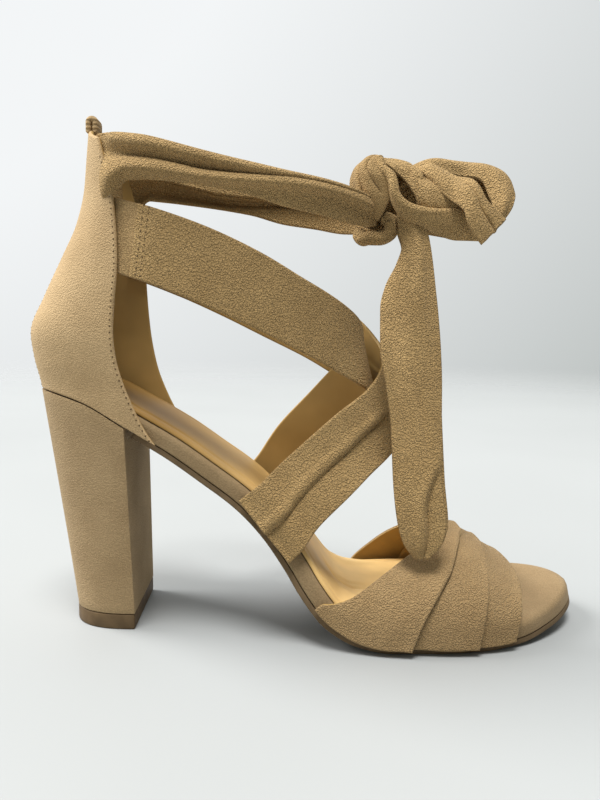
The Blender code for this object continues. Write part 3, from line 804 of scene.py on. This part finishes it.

# Linings by colour and painted shade at the heel, rubbers and dark holes by colour and roughness
LINING = lining("lining_tan", (0.76, 0.50, 0.20), (0.40, 0.34, 0.22))
DEEP_LINING = lining("lining_inside", (0.38, 0.24, 0.08), WHITE)
OUTSOLE_RUBBER = rubber("outsole_brown", (0.15, 0.10, 0.052), 0.8)
TIP_RUBBER = rubber("tip_brown", (0.13, 0.083, 0.04), 0.6)
TAB_WEAVE = ribbed("tab_weave", (0.44, 0.295, 0.14))
HOLE = rubber("needle_hole", (0.12, 0.075, 0.034), 0.9)


# Pieces

def to_metres(points):
    """Points of the tables, moved so that the middle of the shoe's box is at x = y = 0, in metres."""
    return (np.asarray(points) - BOX_MIDDLE) * MM


def new_object(name, data):
    """A new object of the scene that shows a mesh, a light or a camera."""
    thing = bpy.data.objects.new(name, data)
    bpy.context.scene.collection.objects.link(thing)
    return thing


def new_piece(name, points, faces, materials, material_of_face=None):
    """A smooth mesh piece that rides on the shoe."""
    mesh = bpy.data.meshes.new(name)
    mesh.from_pydata(to_metres(points).tolist(), [], faces)
    for material in materials:
        mesh.materials.append(material)
    if material_of_face is not None:
        mesh.polygons.foreach_set("material_index", np.asarray(material_of_face, np.int32))
    mesh.validate()
    mesh.shade_smooth()
    piece = new_object(name, mesh)
    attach(piece, "root")
    return piece


def dress(piece, slot, *nodes):
    """Hides the solids that a piece stands for; its slot is not used."""
    if nodes:
        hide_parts(*nodes)


def surface_normals(grid):
    """Unit normals of a grid of points."""
    return unit(np.cross(np.gradient(grid, axis=0), np.gradient(grid, axis=1)))


def outward_normals(grid, inside):
    """Normals of a grid, turned away from a point inside the shoe."""
    normal = surface_normals(grid)
    return normal if np.sum(normal * (grid - inside)) > 0 else -normal


def edge_distance(grid, axis):
    """Distance of each grid point from the nearer end of its row or column, along the surface."""
    steps = np.linalg.norm(np.diff(grid, axis=axis), axis=-1)
    start = np.zeros_like(np.take(steps, [0], axis=axis))
    run = np.concatenate([start, np.cumsum(steps, axis=axis)], axis=axis)
    return np.minimum(run, np.take(run, [-1], axis=axis) - run)


def grid_faces(index):
    """Quads of a grid of vertex numbers."""
    corners = (index[:-1, :-1], index[:-1, 1:], index[1:, 1:], index[1:, :-1])
    return np.stack([corner.ravel() for corner in corners], axis=-1)


def ring_faces(levels, count):
    """Faces of a solid through closed rings of points, with flat caps."""
    index = np.arange(levels * count).reshape(levels, count)
    closed = np.concatenate([index, index[:, :1]], axis=1)
    return grid_faces(closed).tolist() + [index[0, ::-1].tolist(), index[-1].tolist()]


def wall_piece(name, grid, wall, outer, inner=None, centred=False, away_from=None):
    """A sheet with a wall and round edges; the grid is its inner side, or its middle if centred."""
    normal = surface_normals(grid)
    if away_from is not None and np.sum(normal * (grid - away_from)) < 0:
        grid = grid[:, ::-1]
        normal = -normal[:, ::-1]
    reach = np.minimum(edge_distance(grid, 0), edge_distance(grid, 1))
    swell = np.sqrt(1 - np.clip(1 - reach / (wall / 2), 0, 1) ** 2)[..., None]
    middle = grid if centred else grid + normal * wall / 2
    top = middle + normal * swell * wall / 2
    bottom = middle - normal * swell * wall / 2
    rows, columns = grid.shape[:2]
    top_index = np.arange(rows * columns).reshape(rows, columns)
    bottom_index = top_index.copy()
    inside = np.arange((rows - 2) * (columns - 2)).reshape(rows - 2, columns - 2)
    bottom_index[1:-1, 1:-1] = inside + rows * columns
    points = np.concatenate([top.reshape(-1, 3), bottom[1:-1, 1:-1].reshape(-1, 3)])
    top_faces = grid_faces(top_index)
    bottom_faces = grid_faces(bottom_index)[:, ::-1]
    faces = np.concatenate([top_faces, bottom_faces]).tolist()
    sides = np.repeat([0, 1 if inner else 0], [len(top_faces), len(bottom_faces)])
    return new_piece(name, points, faces, [outer, inner] if inner else [outer], sides)


def loft_piece(name, rings, material):
    """A solid through closed rings, with flat caps."""
    rings = np.asarray(rings)
    return new_piece(name, rings.reshape(-1, 3), ring_faces(*rings.shape[:2]), [material])


def soften(piece, width):
    """Rounds the sharp edges of a solid."""
    bevel = piece.modifiers.new("soft_edges", "BEVEL")
    bevel.width = width * MM
    bevel.segments = 3
    bevel.limit_method = "ANGLE"
    bevel.angle_limit = np.radians(40)


def relief(grid, height):
    """The grid with a height added along its normals."""
    return grid + surface_normals(grid) * height[..., None]


# Sole

def sole_outline(back, tip, inset, round_back):
    """Stations along a sole layer: x and the half widths on both sides."""
    start = SOLE_BACK if round_back else back
    spread = np.linspace(sole_angle(start), sole_angle(tip), 120)
    on_board = SOLE_MIDDLE - SOLE_HALF * np.cos(spread)
    x = back + (on_board - start) * (tip - back) / (tip - start)
    inward = inset * np.sin(spread)
    return x, sole_edge(on_board, "lateral") - inward, sole_edge(on_board, "medial") - inward


def inward_directions(x, half):
    """Unit vectors in plan from an edge of the sole to its inside; y counts towards the edge."""
    tangent = unit(np.stack([np.gradient(x), np.gradient(half)], axis=-1))
    return np.stack([tangent[:, 1], -tangent[:, 0]], axis=-1)


def fold_depth(folds, x, y):
    """Depth of soft lengthwise folds at places in plan."""
    depth = np.zeros_like(x)
    for width, line in folds:
        depth += line.at("depth", x) * hill(y - line.at("y", x), width)
    return depth


def sole_sheet(outline, offset, radius, sign, crown=0.0, groove=0.0, folds=()):
    """One side of a sole layer, round along its rim, with a sewn groove beside it and folds.

    Sign is 1 for the top and -1 for the underside.
    """
    x, lateral, medial = outline
    curve = np.radians(np.linspace(0, 90, 7))
    rim = list(zip(radius * (1 - np.cos(curve)), radius * (1 - np.sin(curve))))
    room = np.minimum((lateral + medial) / 2 / radius, 1.0)

    def inside(half, inset):
        into = inward_directions(x, half)
        return x + into[:, 0] * inset, half + into[:, 1] * inset * room

    columns = []
    for inset, drop in rim:
        place, y = inside(lateral, inset)
        columns.append((place, -y, drop))
    near_x, near_y, _ = columns[-1]
    far_x, far_y = inside(medial, radius)
    for share in edge_dense(101)[1:-1]:
        place = near_x + (far_x - near_x) * share
        y = near_y + (far_y - near_y) * share
        from_edge = (far_y - near_y) * min(share, 1 - share)
        sunk = groove * hill(from_edge - GROOVE_INSET, GROOVE_WIDTH) + fold_depth(folds, place, y)
        columns.append((place, y, sunk - crown * (1 - (2 * share - 1) ** 4)))
    for inset, drop in rim[::-1]:
        columns.append((*inside(medial, inset), drop))
    grid = []
    for place, y, drop in columns:
        along, height = bed_point(place, offset - sign * drop)
        grid.append(np.stack([along, y, height], axis=-1))
    return np.stack(grid, axis=1)


def sole_piece(name, outline, low, thick, material, low_radius, top_radius, **relief_of_top):
    """A sole layer with round rims; its top may have a crown, a groove and folds."""
    top = sole_sheet(outline, low + thick, top_radius, 1, **relief_of_top)
    bottom = sole_sheet(outline, low, low_radius, -1)
    rows, columns = top.shape[:2]
    index = np.arange(rows * columns).reshape(rows, columns)
    below = index + rows * columns
    side_lateral = np.stack([index[:, 0], below[:, 0]], axis=1)
    side_medial = np.stack([below[:, -1], index[:, -1]], axis=1)
    end_back = np.stack([below[0], index[0]], axis=0)
    end_tip = np.stack([index[-1], below[-1]], axis=0)
    strips = (index, below[:, ::-1], side_lateral[:, ::-1], side_medial[:, ::-1], end_back, end_tip)
    faces = np.concatenate([grid_faces(strip) for strip in strips])[:, ::-1].tolist()
    points = np.concatenate([top.reshape(-1, 3), bottom.reshape(-1, 3)])
    piece = new_piece(name, points, faces, [material])
    weld = piece.modifiers.new("close_ends", "WELD")
    weld.merge_threshold = 0.00002
    return piece


def make_sole():
    """Rubber outsole, suede-covered board and padded sock."""
    outline = sole_outline(OUTSOLE_BACK, SOLE_TIP, OUTSOLE_INSET, False)
    low = -GAP - OUTSOLE_THICK
    outsole = sole_piece("sole_rubber", outline, low, OUTSOLE_THICK, OUTSOLE_RUBBER,
                         low_radius=0.5, top_radius=0.3)
    dress(outsole, "outsole_rubber", "outsole")
    outline = sole_outline(SOLE_BACK, SOLE_TIP, 0, True)
    board = sole_piece("board_cover", outline, 0, BOARD_THICK, BOARD_SUEDE,
                       low_radius=0.6, top_radius=2.4, crown=0.3)
    dress(board, "suede", "insole_board")
    outline = sole_outline(SOLE_BACK + SOCK_INSET, SOCK_TIP, SOCK_INSET, True)
    sock = sole_piece("sock_pad", outline, BOARD_THICK + GAP, SOCK_THICK, LINING,
                      low_radius=0.2, top_radius=1.2, crown=0.7, groove=0.45, folds=SOCK_FOLDS)
    dress(sock, "lining", "insole_sock")


# Heel

def heel_ring(share, height):
    """Outline of the heel at a share of its height: flat breast, sides and round back."""
    around = np.linspace(0, np.pi, 73)
    from_back = np.cos(around)
    length = HEEL_BREAST_LOW - HEEL_BACK_LOW
    low_x = HEEL_BREAST_LOW - length * np.abs(np.sin(around)) ** (2 / HEEL_POWER)
    low_y = -HEEL_HALF_WIDTH_LOW * np.sign(from_back) * np.abs(from_back) ** (2 / HEEL_POWER)
    seam = np.full(around.shape, COUNTER_LOW_GUESS)
    for _ in range(6):
        front_lateral = turn_at(HEEL_BREAST_HIGH, seam, -1)
        front_medial = turn_at(HEEL_BREAST_HIGH, seam, 1)
        side_turn = np.where(from_back > 0, 180 + front_lateral, 180 - front_medial)
        turn = 180 - np.abs(from_back) * side_turn
        turn = np.where(from_back > 0, -turn, turn)
        top = off_last(seam, turn, np.full(around.shape, COUNTER_WALL))
        seam = SOLE.at("bed", top[:, 0]) - GAP
    x = low_x + (top[:, 0] - low_x) * share
    y = low_y + (top[:, 1] - low_y) * share
    z = height + (seam - height) * share
    return np.stack([x, y, z], axis=-1)


def make_heel():
    """Suede-covered block heel and its rubber top piece."""
    foot = HEEL_TIP_THICK + GAP
    rings = [heel_ring(share, foot) for share in np.linspace(0, 1, 25)]
    cover = loft_piece("heel_cover", rings, HEEL_SUEDE)
    soften(cover, width=0.9)
    dress(cover, "suede", "heel_block")
    rings = [heel_ring(0, height) for height in (0.0, HEEL_TIP_THICK)]
    tip = loft_piece("heel_top_piece", rings, TIP_RUBBER)
    soften(tip, width=0.6)
    dress(tip, "heel_rubber", "heel_tip")


# Upper

def counter_grid(columns, rows=61):
    """The counter from its lateral front edge round the back to its medial front edge."""
    grid = []
    for reach in 2 * edge_dense(columns) - 1:
        side = "lateral" if reach < 0 else "medial"
        sign = -1 if reach < 0 else 1
        to_back = 1 - abs(reach)

        def place(z):
            front = turn_at(COUNTER_EDGE.at(side, z), z, sign)
            return front + (180 * sign - front) * to_back

        low = np.array(COUNTER_LOW_GUESS)
        for _ in range(8):
            low = SOLE.at("bed", last_point(low, place(low))[0]) + GAP
        high = COUNTER_TOP_FRONT + (COUNTER_TOP_BACK - COUNTER_TOP_FRONT) * to_back
        z = low + (high - low) * edge_dense(rows)
        grid.append(off_last(z, place(z), np.zeros(z.shape)))
    return np.stack(grid)


def strap_turn(table, share, across):
    """Turn and height of a strap's points: by place beside the foot, by turn over the instep."""
    rows = np.linspace(0, 1, len(table.keys))
    sides = table.values["side"]
    x, z, over = np.zeros((3, len(share)))
    for edge, part in (("lower", 1 - across), ("upper", across)):
        turns = turn_at(table.values[edge + "_x"], table.values[edge + "_z"], sides)
        x += table.by_row(edge + "_x", share) * part
        z += table.by_row(edge + "_z", share) * part
        over += smooth_curve(rows, turns, share) * part
    side = np.where(share < STRAP_CREST, sides[0], sides[-1])
    beside = eased((np.abs(share - STRAP_CREST) - CREST_REACH) / CREST_BLEND)
    return over + (turn_at(x, z, side) - over) * beside, z


def strap_grid(table, first, last, lift, rows=141, columns=81):
    """Part of a strap on the last, from its lower to its upper edge; its start is cut at a slant."""
    bands = []
    for across in edge_dense(columns):
        slant = STRAP_SLANT * (across - 0.5)
        end = last if last == 1.0 else last + slant
        share = first + slant + (end - first - slant) * edge_dense(rows)
        turn, z = strap_turn(table, share, across)
        bands.append(off_last(z, turn, table.by_row("lift", share) + lift))
    return np.stack(bands, axis=1)


def tuck(shape):
    """Height of a lengthwise tuck: beyond the instep a strap's upper half laps over its lower half."""
    along = edge_dense(shape[0])[:, None]
    past = edge_dense(shape[1])[None, :] - TUCK_LINE - 0.06 * np.sin(3 * along)
    step = np.clip(past / 0.03, 0, 1) * np.exp(-np.clip(past, 0, 1) / 0.3)
    ridge = hill(past - 0.07, 0.05)
    hollow = hill(past + 0.03, 0.03)
    fade = np.clip((along - 0.45) / 0.1, 0, 1)
    return TUCK_HEIGHT * (step + 0.5 * ridge - 0.35 * hollow) * fade


def make_counter():
    """Closed counter around the heel."""
    grid = counter_grid(columns=121)
    counter = wall_piece("counter", grid, COUNTER_WALL, FINE_SUEDE, DEEP_LINING, away_from=HEEL_MIDDLE)
    dress(counter, "suede", "upper")


def make_straps():
    """Both crossed straps, each sewn to a short elastic; the one from the medial side has a tuck."""
    for name, table in STRAPS:
        grid = strap_grid(table, ELASTIC_START, ELASTIC_END, 0.0, rows=61, columns=41)
        elastic = wall_piece("elastic_" + name, grid, ELASTIC_WALL, ELASTIC_SUEDE, away_from=INSTEP_MIDDLE)
        dress(elastic, "suede")
        grid = strap_grid(table, STRAP_START, 1.0, STRAP_LIFT)
        if table is STRAP_FROM_MEDIAL:
            grid = grid + outward_normals(grid, INSTEP_MIDDLE) * tuck(grid.shape)[..., None]
        strap = wall_piece("strap_" + name, grid, STRAP_WALL, COARSE_SUEDE, DEEP_LINING,
                           away_from=INSTEP_MIDDLE)
        dress(strap, "suede")


def band_point(x, turn, lift):
    """Point over the toes: straight beside the board, then arched over to the other side."""
    arch = np.radians(np.clip(turn, -BAND_ARCH, BAND_ARCH))
    drop = np.clip((np.abs(turn) - BAND_ARCH) / (BAND_END - BAND_ARCH), 0, 1)
    half = np.where(turn < 0, sole_edge(x, "lateral"), sole_edge(x, "medial")) + GAP + lift
    base = SOLE.at("bed", x) + BOARD_THICK
    rise = TOE.at("crown", x) + lift - base
    y = np.sign(turn) * half * np.abs(np.sin(arch)) ** (2 / BAND_POWER)
    z = base + rise * np.abs(np.cos(arch)) ** (2 / BAND_POWER) - drop * BOARD_THICK
    return np.stack([x, y, z], axis=-1)


def make_front_band():
    """Three lapped panels over the toes, each over the one in front of it."""
    turn = BAND_END * (2 * edge_dense(121) - 1)
    rear = BAND.at("rear", turn)
    length = BAND.at("front", turn) - rear
    start = np.zeros(turn.shape)
    for number, (name, seam, low, high) in enumerate(PANELS):
        end = PANEL_SEAMS.at(seam, turn)
        columns = []
        for share in edge_dense(41):
            x = rear + length * (start + (end - start) * share)
            columns.append(band_point(x, turn, low + (high - low) * share ** 2))
        grid = wrinkled(np.stack(columns, axis=1), 0.25, seed=20 + number)
        panel = wall_piece(name, grid, PANEL_WALL, BAND_SUEDE, DEEP_LINING, away_from=TOE_MIDDLE)
        dress(panel, "suede", "front_band")
        start = end - PANEL_LAP


# Ribbon

def rolled_grid(table, curl, rows=81, columns=33):
    """Cloth with its middle along a line and both edges rolled back; curl is the angle in degrees."""
    share = edge_dense(rows)
    centre = table.points("", share)
    tangent = unit(np.gradient(centre, share, axis=0))
    face = unit(OUTER_SIDE - tangent * (tangent @ OUTER_SIDE)[:, None])
    across = np.cross(tangent, face)
    radius = table.by_row("width", share)[:, None] / np.radians(curl)
    turn = np.radians(curl) * (edge_dense(columns) - 0.5)[None, :]
    sideways = radius * np.sin(turn)
    forward = radius * np.cos(turn) - radius
    return centre[:, None] + across[:, None] * sideways[..., None] + face[:, None] * forward[..., None]


def across_lines(lines, columns):
    """A surface through lines that lie side by side, each given as points along it."""
    wanted = edge_dense(columns) * (len(lines) - 1)
    keys = np.arange(len(lines))
    stack = np.stack(lines)
    rows = [np.stack([smooth_curve(keys, stack[:, row, axis], wanted) for axis in range(3)], axis=-1)
            for row in range(stack.shape[1])]
    return np.stack(rows)


def tie_grid(side, rows=141, columns=73):
    """Half of the ankle ribbon, gathered into a band on top, a valley and a rolled fold below it."""
    x = TIE.keys[0] + (TIE.keys[-1] - TIE.keys[0]) * edge_dense(rows)
    depth = TIE.at(side, x)
    outward = np.sign(depth[rows // 2])
    lines = []
    for name, puffs, hooked in TIE_LINES:
        stand_out = TIE.at("puff", x) * puffs + TIE.at("hook", x) * hooked
        lines.append(np.stack([x, depth + outward * stand_out, TIE.at(name, x)], axis=-1))
    return across_lines(lines, columns)


def strand_grid(table, rows=121, columns=41, roll=0.0, inner=False):
    """Cloth between two edges that swells to one side of the foot; its first edge may be rolled back."""
    share = edge_dense(rows)
    first = table.points("a", share)
    second = table.points("b", share)
    across = second - first
    normal = np.cross(np.gradient(first + second, axis=0), across)
    normal *= np.sign(np.sum(normal @ np.array([0.0, 1.0 if inner else -1.0, 0.3])))
    normal = unit(normal)
    bulge = table.by_row("bulge", share)[:, None]
    lines = []
    if roll:
        away = -unit(across)
        for turn in np.radians(np.linspace(270, 15, 18)):
            lines.append(first - normal * roll * (1 - np.cos(turn)) + away * roll * np.sin(turn))
    for place in np.linspace(0, 1, columns):
        lines.append(first + across * place + normal * bulge * np.sin(np.pi * place))
    return np.stack(lines, axis=1)


def grid_shares(grid):
    """Shares along the rows and across the columns of a grid."""
    rows, columns = grid.shape[:2]
    return np.linspace(0, 1, rows)[:, None], np.linspace(0, 1, columns)[None, :]


def pressed(grid, depth):
    """The grid pressed in towards the inner side of the foot."""
    return relief(grid, np.sign(surface_normals(grid)[..., 1].sum()) * depth)


def creased(grid, lines):
    """The grid with creases that run between two places, as shares along and across the cloth."""
    along, across = grid_shares(grid)
    depth = np.zeros(grid.shape[:2])
    for start, end, width, press in lines:
        run = np.clip((along - start[0]) / (end[0] - start[0]), 0, 1)
        middle = start[1] + (end[1] - start[1]) * run
        fade = np.sin(np.pi * run) ** 0.5
        depth += press * fade * hill(across - middle, width)
    return pressed(grid, depth)


def hanging_folds(grid):
    """Depth of the hanging ribbon's folds: a hollow low down by its front edge, a valley and a ridge."""
    across = grid_shares(grid)[1]
    z = grid[..., 2]
    past = across - 0.53 - 0.43 * np.clip((z - 52) / 20, 0, 1) ** 1.5
    hollow = np.clip(past / 0.1, 0, 1) * np.exp(-np.clip(past, 0, 1) / 0.22) * hill(z - 54, 18)
    brink = hill(past + 0.06, 0.08) * hill(z - 56, 16)
    valley = hill(across - 0.55 - (100 - z) / 150, 0.08) * hill(z - 88, 14)
    ridge = hill(across - 0.62 - (150 - z) / 260, 0.1) * hill(z - 140, 22)
    return 3.4 * hollow - 0.8 * brink + 0.9 * valley - 0.9 * ridge


def wrinkled(grid, amount, seed, waves=5):
    """The grid with shallow wrinkles, as a sum of a few long waves in different directions."""
    random = np.random.default_rng(seed)
    along, across = grid_shares(grid)
    height = np.zeros(grid.shape[:2])
    for _ in range(waves):
        lengthwise = random.uniform(-4, 4)
        crosswise = random.uniform(0.5, 2.5)
        height += np.sin(2 * np.pi * (lengthwise * along + crosswise * across + random.uniform(0, 1)))
    return relief(grid, amount * height / waves)


def ribbon_piece(name, grid, held, *nodes, cloth=COARSE_SUEDE):
    """A piece of the ribbon."""
    piece = wall_piece(name, grid, RIBBON_WALL, cloth, centred=True)
    dress(piece, "suede", *nodes)


def make_ties():
    """Both halves of the ankle ribbon."""
    for seed, side in enumerate(("lateral", "medial")):
        grid = wrinkled(tie_grid(side), 0.35, seed)
        ribbon_piece("tie_" + side, grid, "gathered", "ankle_tie_" + side)


def make_bow():
    """The knot's wraps, the loop with its rolled edge, the short tail and the long end that hangs down."""
    wrap = creased(wrinkled(strand_grid(BOW_WRAP), 0.3, seed=3), WRAP_CREASES)
    # The wrap's darker suede is painted shade
    ribbon_piece("bow_wrap", wrap, "folded", "bow_knot", cloth=SHADED_KNOT_SUEDE)
    wrap_back = wrinkled(strand_grid(BOW_WRAP_BACK, inner=True), 0.5, seed=4)
    ribbon_piece("bow_wrap_back", wrap_back, "folded", "bow_knot")
    ribbon_piece("bow_under_wrap", rolled_grid(BOW_UNDER, UNDER_CURL), "folded")
    ribbon_piece("bow_over_strand", wrinkled(strand_grid(BOW_OVER), 0.4, seed=5), "folded")
    lower = wrinkled(strand_grid(BOW_LOWER, roll=LOWER_ROLL), 0.15, seed=6)
    ribbon_piece("bow_lower_strand", lower, "folded", "bow_loop")
    upper = wrinkled(strand_grid(BOW_BACK), 0.5, seed=7)
    ribbon_piece("bow_back_strand", upper, "folded", "bow_loop")
    tail = creased(wrinkled(strand_grid(BOW_TAIL), 0.3, seed=8), TAIL_CREASES)
    ribbon_piece("bow_tail", tail, "folded")
    far = wrinkled(strand_grid(BOW_FAR, inner=True), 0.5, seed=9)
    ribbon_piece("bow_far_strand", far, "folded", "bow_loop")
    front = strand_grid(HANGING_FRONT, rows=161, columns=49)
    front = wrinkled(pressed(front, hanging_folds(front)), 0.25, seed=10)
    ribbon_piece("hanging_front", front, "hung", "bow_hanging_loop")
    back = wrinkled(strand_grid(HANGING_BACK, rows=161), 0.25, seed=11)
    ribbon_piece("hanging_back", back, "hung")


# Small pieces

def make_pull_tab():
    """Folded tab of two layers on the top of the back seam."""
    around = np.radians(np.linspace(0, 180, 41))
    leg = np.linspace(0, TAB_HEIGHT, 9)[:-1]
    side = np.full(leg.shape, TAB_HALF_LENGTH)
    x = np.concatenate([side, TAB_HALF_LENGTH * np.cos(around), -side])
    z = np.concatenate([leg, TAB_HEIGHT + TAB_HALF_LENGTH * np.sin(around), leg[::-1]])
    lines = [TAB_CENTRE + np.stack([x, np.full(x.shape, y), z], axis=-1)
             for y in TAB_WIDTH * (edge_dense(25) - 0.5)]
    tab = wall_piece("back_tab", np.stack(lines, axis=1), TAB_WALL, TAB_WEAVE, centred=True)
    dress(tab, "suede", "pull_tab")


def needle_hole(centre, normal):
    """Points of a small flattened ball that lies on a surface."""
    side = unit(np.cross(normal, (0.0, 0.3, 1.0)))
    other = np.cross(normal, side)
    turn = np.linspace(0, 2 * np.pi, HOLE_SIDES, endpoint=False)[:, None]
    around = side * np.cos(turn) + other * np.sin(turn)
    rings = [np.cos(lift) * around + normal * np.sin(lift) * HOLE_FLATNESS
             for lift in np.radians(HOLE_RINGS)]
    return centre + HOLE_RADIUS * np.concatenate(rings)


def stitch_row(name, line, normals):
    """Needle holes at an even pitch along a line on a surface."""
    run = np.concatenate([[0], np.cumsum(np.linalg.norm(np.diff(line, axis=0), axis=-1))])
    hole_faces = ring_faces(len(HOLE_RINGS), HOLE_SIDES)
    points = []
    faces = []
    for place in np.arange(STITCH_PITCH / 2, run[-1], STITCH_PITCH):
        centre = np.array([np.interp(place, run, axis) for axis in line.T])
        normal = unit(np.array([np.interp(place, run, axis) for axis in normals.T]))
        base = len(points) * len(HOLE_RINGS) * HOLE_SIDES
        points.append(needle_hole(centre, normal))
        faces += [[corner + base for corner in face] for face in hole_faces]
    piece = new_piece(name, np.concatenate(points), faces, [HOLE])
    dress(piece, "suede")


def make_counter_stitches():
    """Stitch rows beside the counter's front edges and both sides of its back seam."""
    columns = 241
    seam = columns // 2
    beside_seam = 12
    edge_rows = np.arange(2, 52)
    seam_rows = np.arange(2, 59)
    grid = counter_grid(columns)
    normal = outward_normals(grid, HEEL_MIDDLE)
    outside = grid + normal * COUNTER_WALL
    reach = np.abs(edge_distance(grid, 0) - EDGE_STITCHES)
    for name, first, end in (("lateral", 0, seam), ("medial", seam + 1, columns)):
        nearest = first + np.argmin(reach[first:end, edge_rows], axis=0)
        stitch_row("stitches_counter_" + name, outside[nearest, edge_rows], normal[nearest, edge_rows])
    for name, column in (("lateral", seam - beside_seam), ("medial", seam + beside_seam)):
        stitch_row("stitches_back_" + name, outside[column, seam_rows], normal[column, seam_rows])


def make_strap_stitches():
    """Two rows of stitches where each strap is sewn to its elastic."""
    step = 0.004
    inside = slice(3, -3)
    for name, table in STRAPS:
        for row, share in enumerate(STRAP_STITCHES):
            grid = strap_grid(table, share - step, share + step, STRAP_LIFT + STRAP_WALL,
                              rows=3, columns=41)
            normal = outward_normals(grid, INSTEP_MIDDLE)
            stitch_row(f"stitches_strap_{name}_{row}", grid[1, inside], normal[1, inside])


# Stage

def make_surround():
    """Pale surround that is brightest on the window's side of the room."""
    world = bpy.data.worlds.new("surround")
    world.use_nodes = True
    tree = world.node_tree
    place = tree.nodes.new("ShaderNodeTexCoord").outputs["Generated"]
    facing = tree.nodes.new("ShaderNodeVectorMath")
    facing.operation = "DOT_PRODUCT"
    facing.inputs[1].default_value = Vector(WINDOW_SIDE).normalized()
    tree.links.new(place, facing.inputs[0])
    level = mapped(tree, facing.outputs["Value"], From_Min=-1.0, From_Max=1.0)
    set_inputs(tree.nodes["Background"], Color=ramp(tree, level, *SURROUND))
    bpy.context.scene.world = world


def make_stage():
    """Pale floor, soft studio lights and a bright surround."""
    bpy.context.scene.view_settings.view_transform = "Standard"
    corners = [(FLOOR_HALF * x, FLOOR_HALF * y, 0) for x, y in ((-1, -1), (1, -1), (1, 1), (-1, 1))]
    mesh = bpy.data.meshes.new("floor")
    mesh.from_pydata(corners, [], [(0, 1, 2, 3)])
    mesh.materials.append(floor_material())
    floor = new_object("floor", mesh)
    make_surround()
    for name, direction, spread, strength in SUNS:
        data = bpy.data.lights.new(name, "SUN")
        data.angle = np.radians(spread)
        data.energy = strength
        lamp = new_object(name, data)
        lamp.rotation_mode = "QUATERNION"
        lamp.rotation_quaternion = Vector(direction).to_track_quat("Z", "Y")


def make_camera():
    """Camera at the photo's place, turned by its yaw, pitch and roll."""
    yaw, pitch, roll = np.radians([CAMERA_YAW, CAMERA_PITCH, CAMERA_ROLL])
    level = np.array([-np.sin(yaw), np.cos(yaw), 0.0])
    upward = np.array([0.0, 0.0, 1.0])
    ahead = level * np.cos(pitch) + upward * np.sin(pitch)
    straight_up = upward * np.cos(pitch) - level * np.sin(pitch)
    straight_right = np.array([np.cos(yaw), np.sin(yaw), 0.0])
    right = straight_right * np.cos(roll) + straight_up * np.sin(roll)
    up = straight_up * np.cos(roll) - straight_right * np.sin(roll)
    data = bpy.data.cameras.new("camera")
    data.sensor_width = CAMERA_SENSOR
    data.lens = CAMERA_LENS
    data.clip_start = 0.01
    columns = np.eye(4)
    columns[:3, 0] = right
    columns[:3, 1] = up
    columns[:3, 2] = -ahead
    columns[:3, 3] = to_metres(CAMERA_PLACE)
    camera = new_object("camera", data)
    camera.matrix_world = Matrix(columns.tolist())
    bpy.context.scene.camera = camera


make_camera()
make_stage()
make_sole()
make_heel()
make_counter()
make_straps()
make_front_band()
make_ties()
make_bow()
make_pull_tab()
make_counter_stitches()
make_strap_stitches()
